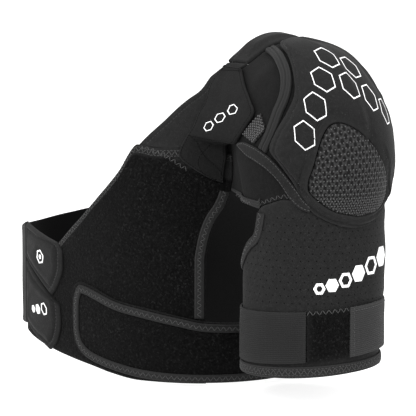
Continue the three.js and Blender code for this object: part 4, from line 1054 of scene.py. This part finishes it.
# Seam tapes and rolled pipings of the cap, alike in front and at the back
tape_turn, tape_upper, tape_lower = table(
    (97, 0.757, 0.742), (90, 0.744, 0.7), (81, 0.715, 0.67), (74, 0.69, 0.648), (67, 0.662, 0.618),
    (61, 0.632, 0.588), (55, 0.606, 0.565), (50, 0.586, 0.553), (45, 0.568, 0.547),
)
piping_turn, piping_run = table(
    (18.5, 0.915), (22, 0.89), (28, 0.852), (34.5, 0.81), (43, 0.777), (53, 0.752), (62.5, 0.724),
    (70, 0.704), (74, 0.694),
)
for end, side, start in (("front", 1, 0), ("back", -1, 0.22)):
    down, along = grid(spaced(9, 0.9), np.linspace(start, 1, 90))
    place = shoulder_at(side * tape_turn(along), lerp(tape_lower(along), tape_upper(along), down))
    cap_tape = Panel(f"cap_edge_tape_{end}_cloth", from_limb, place, SECOND_LOW, EDGE_TAPE)
    cap_tape.sew(straight_rows, "tb", 1.8, 1.0, 0.1)
    cap_tape.build(SMOOTH, "bound_band")
    along = np.linspace(0, 1, 90)
    path = shoulder_at(side * piping_turn(along), piping_run(along))
    piping = tape(f"cap_piping_{end}_cloth", from_limb, path, PIPING_WIDTH, OVER_BASE, PIPING_HEIGHT, 3.0, 15)
    piping.groove("b", 4.2, 0.8, 0.6)
    piping.build(BINDING, "bound_band")

# Small mesh vent
down, across = [share[..., None] for share in grid(np.linspace(0, 1, 24), np.linspace(0, 1, 24))]
(a, b, c, d) = np.array([(88, 0.766), (64, 0.775), (66, 0.733), (80, 0.719)])
spots = lerp(lerp(a, b, across), lerp(d, c, across), down)
place = shoulder_at(spots[..., 0], spots[..., 1])
vent = Panel("vent_mesh_cloth", from_limb, place, OVER_BASE, TAPE, rim=0.8)
vent.build(MESH, "spacer_mesh")
places = staggered((0.05, 0.05), (0.96, 0.96), 0.12)
dots("vent_mesh_knots", *vent.at(places[:, 1], places[:, 0], -0.05), KNOT, 0.8, 0.35, "spacer_mesh")

# Cross strap, pulled straight over the armpit fold and sewn down in a square with a cross
left_turn, left_height = table(
    (76.4, 0.935), (74, 0.905), (71.7, 0.87), (68.1, 0.829), (64, 0.795), (61.5, 0.76), (59.6, 0.74),
    (57.5, 0.715), (55.7, 0.68), (61, 0.638), (67, 0.609),
)
upper_right = np.array([
    (46, 0.935), (59, 0.878), (64.8, 0.823), (68.4, 0.783), (79, 0.772), (91, 0.766), (101, 0.768)
])
lower_right = np.array([(73.5, 0.707), (72.4, 0.673), (70.8, 0.638), (70.2, 0.6)])
share = spaced(100, 1.4)
across = spaced(42, 1.4)[None, :, None]


def cross_face(level):
    left = torso_at(left_turn(share), left_height(share), level)
    upper = shoulder_at(upper_right[:, 0], upper_right[:, 1], level)
    lower = torso_at(lower_right[:, 0], lower_right[:, 1], level)
    right = np.stack([read(share) for read in table(*upper, *lower)], axis=-1)
    chord = lerp(left[:, None], right[:, None], across)
    return np.where((from_torso(chord) < level)[..., None], settle(from_torso, chord, level), chord)


strap = Panel("cross_strap_cloth", from_torso, cross_face(SECOND_LOW), 0.0, 1.0, rim=1.2)
full = cross_face(SECOND_LOW + STRAP_CLOTH) - strap.base
strap.outer = strap.base + full * strap.rounding(1.3)[..., None]
strap.ripple(0.25, 22, 4, 1, 6)
strap.build(STRAP, "bound_band")

# Belt round the right side and the padded tabs that close it on the chest
belt_low = curve((-150, 0.03), (-110, 0.045), (-70, 0.075), (-41, 0.1))
belt_top = curve((-150, 0.42), (-105, 0.42), (-90, 0.406), (-73, 0.394), (-55, 0.402), (-41, 0.426))
down, turn = grid(spaced(100, 2.2), lerp(BELT_BACK, BELT_FRONT, spaced(230, 2.2)))
place = torso_at(turn, lerp(belt_low(turn), belt_top(turn), down))
belt = Panel("belt_cloth", from_torso, place, SECOND_LOW, NEOPRENE, rim=1.6)
belt.ripple(0.4, 45, 9, 2, 10)
belt.sew(straight_rows, "tb", 4, 3, 0.1)
belt.build(SMOOTH, "smooth_neoprene")


def tab(name, *rows):
    left, left_end, right, right_end = table(*rows)
    down, across = grid(spaced(58, 1.3), spaced(66, 1.3))
    turn = lerp(left(down), right(down), across)
    place = torso_at(turn, lerp(left_end(down), right_end(down), across))
    pad = Panel(name, from_torso, place, SECOND_LOW, TAB_EDGE, rim=1.4)
    pad.raise_by(TAB_PAD * smooth_step(2.5, 12, pad.near) + 0.9 * bell(pad.near, 2.6, 1.3))
    pad.raise_by(-0.7 * bell(pad.near, 5.4, 1.1))
    puff(pad, 40, 44, 2.0, 0.01, 0.8)
    pad.sew(straight_rows, "r", 5.4, 5, 0.0)
    pad.build(SMOOTH, "smooth_neoprene")
    return pad


upper = tab(
    "upper_tab_pad", (-40, 0.424, -10, 0.386), (-40, 0.4, -5.5, 0.36), (-40, 0.375, -5.5, 0.31),
    (-40, 0.34, -9, 0.258), (-40, 0.312, -14, 0.218),
)
lower = tab(
    "lower_tab_pad", (-40, 0.305, -13, 0.207), (-40, 0.25, -8, 0.188), (-40, 0.2, -7.2, 0.135),
    (-40, 0.15, -10, 0.08), (-40, 0.1, -16, 0.045),
)

# Wide strap under the arm and its binding
strap_low = curve(
    (3, 0.16), (4.5, 0.095), (8, 0.062), (16, 0.042), (31, 0.02), (43, 0.008), (55, 0.004), (65, 0.004),
    (75, 0.004), (110, 0.004), (143, 0.02),
)
strap_top = curve(
    (3, 0.235), (4.5, 0.265), (8, 0.278), (16, 0.268), (31, 0.236), (43, 0.223), (55, 0.204), (65, 0.188),
    (75, 0.183), (110, 0.19), (143, 0.24),
)
near_end = np.array([3, 3.15, 3.4, 3.8, 4.4, 5.2, 6.2])
down, turn = grid(spaced(55, 1.8), np.concatenate([near_end, np.linspace(7.2, 143, 130)]))
place = torso_at(turn, lerp(strap_low(turn), strap_top(turn), down))
under_strap = Panel("lower_strap_cloth", from_torso, place, SECOND_LOW, STRAP_CLOTH, rim=1.4)
under_strap.ripple(0.4, 34, 6, 2, 10)
under_strap.build(PILE, "fuzzy_loop")


def bound(name, distance, points, width, low):
    """Binding along a path, held by one row of zigzag."""
    band = tape(name, distance, points, width, low, TAPE, 0.9)
    band.sew(wide_rows, "t", width / 2, 1.5, 0.12)
    band.build(BINDING, "bound_band")


turn, height = table(
    (141, 0.036), (125, 0.026), (110, 0.019), (95, 0.018), (80, 0.018), (65, 0.018), (55, 0.019), (43, 0.024),
    (31, 0.036), (22, 0.048), (15.5, 0.06), (11.5, 0.074), (9, 0.089), (7.4, 0.108), (6.4, 0.14), (6.4, 0.2),
    (7.4, 0.236), (10, 0.258), (14, 0.254), (20, 0.243), (31, 0.22), (43, 0.205), (55, 0.187), (65, 0.171),
    (80, 0.166), (95, 0.169), (110, 0.172), (125, 0.19), (141, 0.215),
)
along = np.linspace(0, 1, 460)
path = torso_at(turn(along), height(along))
bound("lower_strap_binding_cloth", from_torso, path, TAPE_WIDTH - 1, OVER_STRAP)

# Bindings of the armhole
height = lerp(0.197, 0.575, np.linspace(0, 1, 84))
path = torso_at(chest_side(height) - 2.2, height)
bound("chest_armhole_binding_cloth", from_torso, path, TAPE_WIDTH, SECOND_LOW)
down, across = grid(spaced(7.5, 0.9), lerp(127.6, 89.0, spaced(60, 1.2)))
rise = 0.003 + down * 0.057
low_face = base_place(rise, across, OVER_BASE)
arch = Panel("shoulder_armhole_binding_cloth", from_limb, low_face, 0.0, 0.5, rim=0.9)
arch.outer = low_face + (base_place(rise, across, OVER_BASE + 1) - low_face) * TAPE
arch.normal = unit(arch.outer - arch.inner)
arch.sew(wide_rows, "t", 3.4, 13, 0.12)
arch.build(BINDING, "bound_band")
half = [(87.5, 0.538), (89.2, 0.508), (91.2, 0.48), (95, 0.461), (100.5, 0.449), (109, 0.4256), (120, 0.3926)]
half += [(140, 0.3676), (160, 0.361)]
turn, run = table(*half, (180, 0.3576), *[(360 - turn, run) for turn, run in half[::-1]])
along = np.linspace(0, 1, 200)
path = shoulder_at(turn(along), run(along))
bound("sleeve_top_binding_cloth", from_limb, path, TAPE_WIDTH, SECOND_LOW)

# Hem band, elastic strap, loop patch and strap end on the sleeve
down, turn = grid(spaced(8.5, 0.8), np.linspace(0, 360, 241)[:-1])
place = on_shoulder(turn, sleeve_hem_run(turn) + lerp(0.5, 9, down))
hem = Panel("sleeve_hem_cloth", from_limb, place, SECOND_LOW, TAPE, True, 0.9)
cover_seam(hem, "b", 2.0, 4.6)
hem.build(BINDING, "bound_band")


def wrap(name, start, end, low, thick):
    """Band round the sleeve at the height of the elastic strap, a little slanted."""
    down, turn = grid(spaced(41, 1.2), lerp(start, end, spaced(abs(end - start) * 0.95, 1.4)))
    slant = np.cos(np.radians(turn - SLANT_TURN))
    place = on_shoulder(turn, lerp(37 + 5 * slant, 78 + 3.5 * slant, down))
    panel = Panel(name, from_limb, place, low, thick, rim=1.0)
    panel.ripple(0.25, 24, 17, 1, 6)
    return panel


wrap("sleeve_strap_cloth", 47, 298, SECOND_LOW, ELASTIC_BAND).build(ELASTIC, "bound_band")
patch = wrap("sleeve_loop_patch_cloth", 46, -52, SECOND_LOW, LOOP_PATCH)
patch.sew(wide_rows, "t", 1.4, 1.0, 0.3)
patch.build(PILE, "fuzzy_loop")
end_tab = wrap("strap_end_tab_cloth", 9.5, -61, SECOND_LOW + 2, ELASTIC_BAND)
end_tab.sew(straight_rows, "tl", 3, 2, 0.1)
end_tab.build(END_CLOTH, "smooth_neoprene")

# Seams: gusset to sleeve, smooth to loop face on the chest, and the strap's square with a cross
points, normals = base.path("b", 2.6, 0, 0.16)
for low_turn, high_turn in ((56, 89), (-89, -56)):
    keep = (position[0] > low_turn) & (position[0] < high_turn)
    wide_rows.append((points[keep], normals[keep]))
line_turn = np.linspace(41.5, 58, 40)
line = on_torso(line_turn, smooth_line(line_turn) - 1.5, NEOPRENE)
line_way = unit(slope_of(from_torso, line))
wide_rows.append((Surface(chest_obj).drop(line, line_way, 0.2), line_way))
for sides, inset in (("lr", 2.2), ("b", 2.0), ("b", 5.0), ("t", 2.0)):
    strap.sew(dark_rows, sides, inset, 1.5, 0.1)
sewn = np.linspace(0, 1, 40)
for start, end in (((0.62, 0.08), (0.95, 0.92)), ((0.62, 0.92), (0.95, 0.08)), ((0.62, 0.05), (0.62, 0.95))):
    dark_rows.append(strap.at(lerp(start[0], end[0], sewn), lerp(start[1], end[1], sewn), 0.1))

stitches("straight_stitches", straight_rows, THREAD, 3.0, 2.3, 0.32, 0.0)
stitches("zigzag_stitches", wide_rows, THREAD, 2.6, 4.6, 0.36, 0.95)
stitches("dark_stitches", dark_rows, DARK_THREAD_AND_HOLE_SHADE, 2.4, 2.0, 0.34, 0.0)


# White prints: six-sided rings and fields, laid on the finished faces
def print_cells(name, surface, place, cells, slot, turn=30):
    """place turns millimetres on the cloth into points and normals; each cell is (u, v, outer, inner)."""
    verts, faces, start = [], [], 0
    corner = np.radians(turn + 60 * np.arange(7))
    corner = np.array([(math.cos(angle), math.sin(angle)) for angle in corner])
    ring = np.concatenate([lerp(corner[k], corner[k + 1], np.arange(4)[:, None] / 4) for k in range(6)])
    for u, v, outer, inner in cells:
        radii = np.linspace(max(inner, 0.02), outer, 3 if inner else 6)
        points, normals = place((ring[None] * radii[:, None, None] + (u, v)).reshape(-1, 2))
        verts += [surface.drop(points, normals, lift) for lift in (0.22, -0.1)]
        row, column, side = shell(len(radii), len(ring), True).transpose(2, 0, 1)
        faces.append(start + (side * len(radii) + row) * len(ring) + column % len(ring))
        start += 2 * len(points)
    mesh = closed_mesh(name, (np.concatenate(verts) - SEAT) / 1000, np.concatenate(faces))
    outward(mesh)
    return ride(add_object(name, mesh, INK), slot)


def on_arm(flat):
    points = on_shoulder(np.degrees(flat[:, 0] / SHOULDER_BALL_RADIUS), flat[:, 1], 6.0)
    return points, unit(slope_of(from_limb, points))


def print_on(panel, name, down, across, cells, slot):
    deep, wide = panel.down[-1].mean(), panel.across[:, -1].mean()
    place = lambda flat: panel.at(down + flat[:, 1] / deep, across + flat[:, 0] / wide)
    print_cells(name, Surface(panel.obj), place, cells, slot)


RING, LINE = 7.0, 0.62
spots = (
    (41, 199.5), (29, 210.5), (17, 221.5), (5, 232.5), (1.5, 216.6), (-10.5, 227.6), (-14, 211.7),
    (-29.5, 206.8),
)
cells = [(u, v, RING, RING - LINE) for u, v in spots]
print_cells("cap_print", Surface(cap_obj), on_arm, cells, "smooth_neoprene", 47.5)
steps = (
    (36, 96, 5.2), (25, 98.5, 6.0), (12.5, 102, 6.8), (-1.5, 106.5, 7.6), (-17, 111.5, 8.4), (-34, 117, 9.2),
)
cells = [(u, v, size, 0 if k % 2 else size - 2.6) for k, (u, v, size) in enumerate(steps)]
print_cells("sleeve_print", sleeve_face, on_arm, cells, "smooth_neoprene", 0)
cells = [(-6, 10, 5.2, 4.3), (1, 0, 5.2, 4.3), (8, -10, 5.2, 4.3)]
print_on(strap, "strap_print", 0.42, 0.45, cells, "bound_band")
cells = [(0, 0, 6.5, 5.0), (0, 0, 2.2, 0)]
print_on(upper, "upper_tab_print", 0.5, 0.55, cells, "smooth_neoprene")
cells = [(-9, 4, 3.6, 0), (0, 0, 4.6, 0), (11, -5, 5.6, 4.2)]
print_on(lower, "lower_tab_print", 0.5, 0.5, cells, "smooth_neoprene")


# Flat sizes of the cloths, read along each face
def declare_sheet(panel, trims):
    face = closed_ring(panel.base) if panel.ringed else panel.base
    one, two = face[1:, 1:] - face[:-1, :-1], face[1:, :-1] - face[:-1, 1:]
    area = 0.5 * np.linalg.norm(np.cross(one, two), axis=-1).sum() / 1e6
    [panels[trim].obj for trim in trims]


PADDED = ("shoulder_cap_cloth", "upper_tab_pad", "lower_tab_pad")
TRIMS = {
    "chest_panel_cloth": ("chest_armhole_binding_cloth",),
    "shoulder_base_cloth": (
        "cap_piping_front_cloth", "cap_piping_back_cloth", "cap_edge_tape_front_cloth",
        "cap_edge_tape_back_cloth", "shoulder_armhole_binding_cloth",
    ),
    "sleeve_cloth": ("sleeve_top_binding_cloth", "sleeve_hem_cloth"),
    "lower_strap_cloth": ("lower_strap_binding_cloth",),
}
trims = [trim for group in TRIMS.values() for trim in group]
for name, panel in panels.items():
    if name not in PADDED and name not in trims:
        declare_sheet(panel, TRIMS.get(name, ()))


# Plain pale floor and soft studio light
def add_floor():
    mesh = bpy.data.meshes.new("floor")
    size, level = 60.0, -0.2895
    corners = [(-size, -size, level), (size, -size, level), (size, size, level), (-size, size, level)]
    mesh.from_pydata(corners, [], [(0, 1, 2, 3)])
    n = Finish("pale_floor")
    cloud = n.noise(3, 2.0)
    n.finish(n.mix(cloud, 0.5, 0.52), n.span(cloud, 0.3, 0.7, 0.85, 0.95), cloud, 0.0001, 0.0)
    n.shader["Emission Color"].default_value = (1, 1, 1, 1)
    n.shader["Emission Strength"].default_value = 0.8
    add_object("floor", mesh, n.material)


def add_light(name, place, target, size, power):
    data = bpy.data.lights.new(name, "AREA")
    data.energy = power
    data.shape = "RECTANGLE"
    data.size, data.size_y = size
    lamp = add_object(name, data)
    lamp.location = place
    lamp.rotation_mode = "QUATERNION"
    lamp.rotation_quaternion = (Vector(place) - Vector(target)).to_track_quat("Z", "Y")


add_floor()
middle = (-0.1, 0.0, -0.15)
add_light("key", (0.2, -1.6, 1.3), middle, (1.2, 1.2), 30)
add_light("fill", (-1.6, -1.2, 0.4), middle, (1.4, 1.0), 14)
add_light("side", (1.7, 0.2, 0.7), middle, (1.0, 1.2), 18)
add_light("top", (-0.1, 0.5, 1.7), middle, (1.4, 1.0), 20)

world = bpy.data.worlds.new("studio")
world.use_nodes = True
world.node_tree.nodes["Background"].inputs[0].default_value = (1, 1, 1, 1)
world.node_tree.nodes["Background"].inputs[1].default_value = 1.0
bpy.context.scene.world = world
bpy.context.scene.view_settings.view_transform = "Standard"
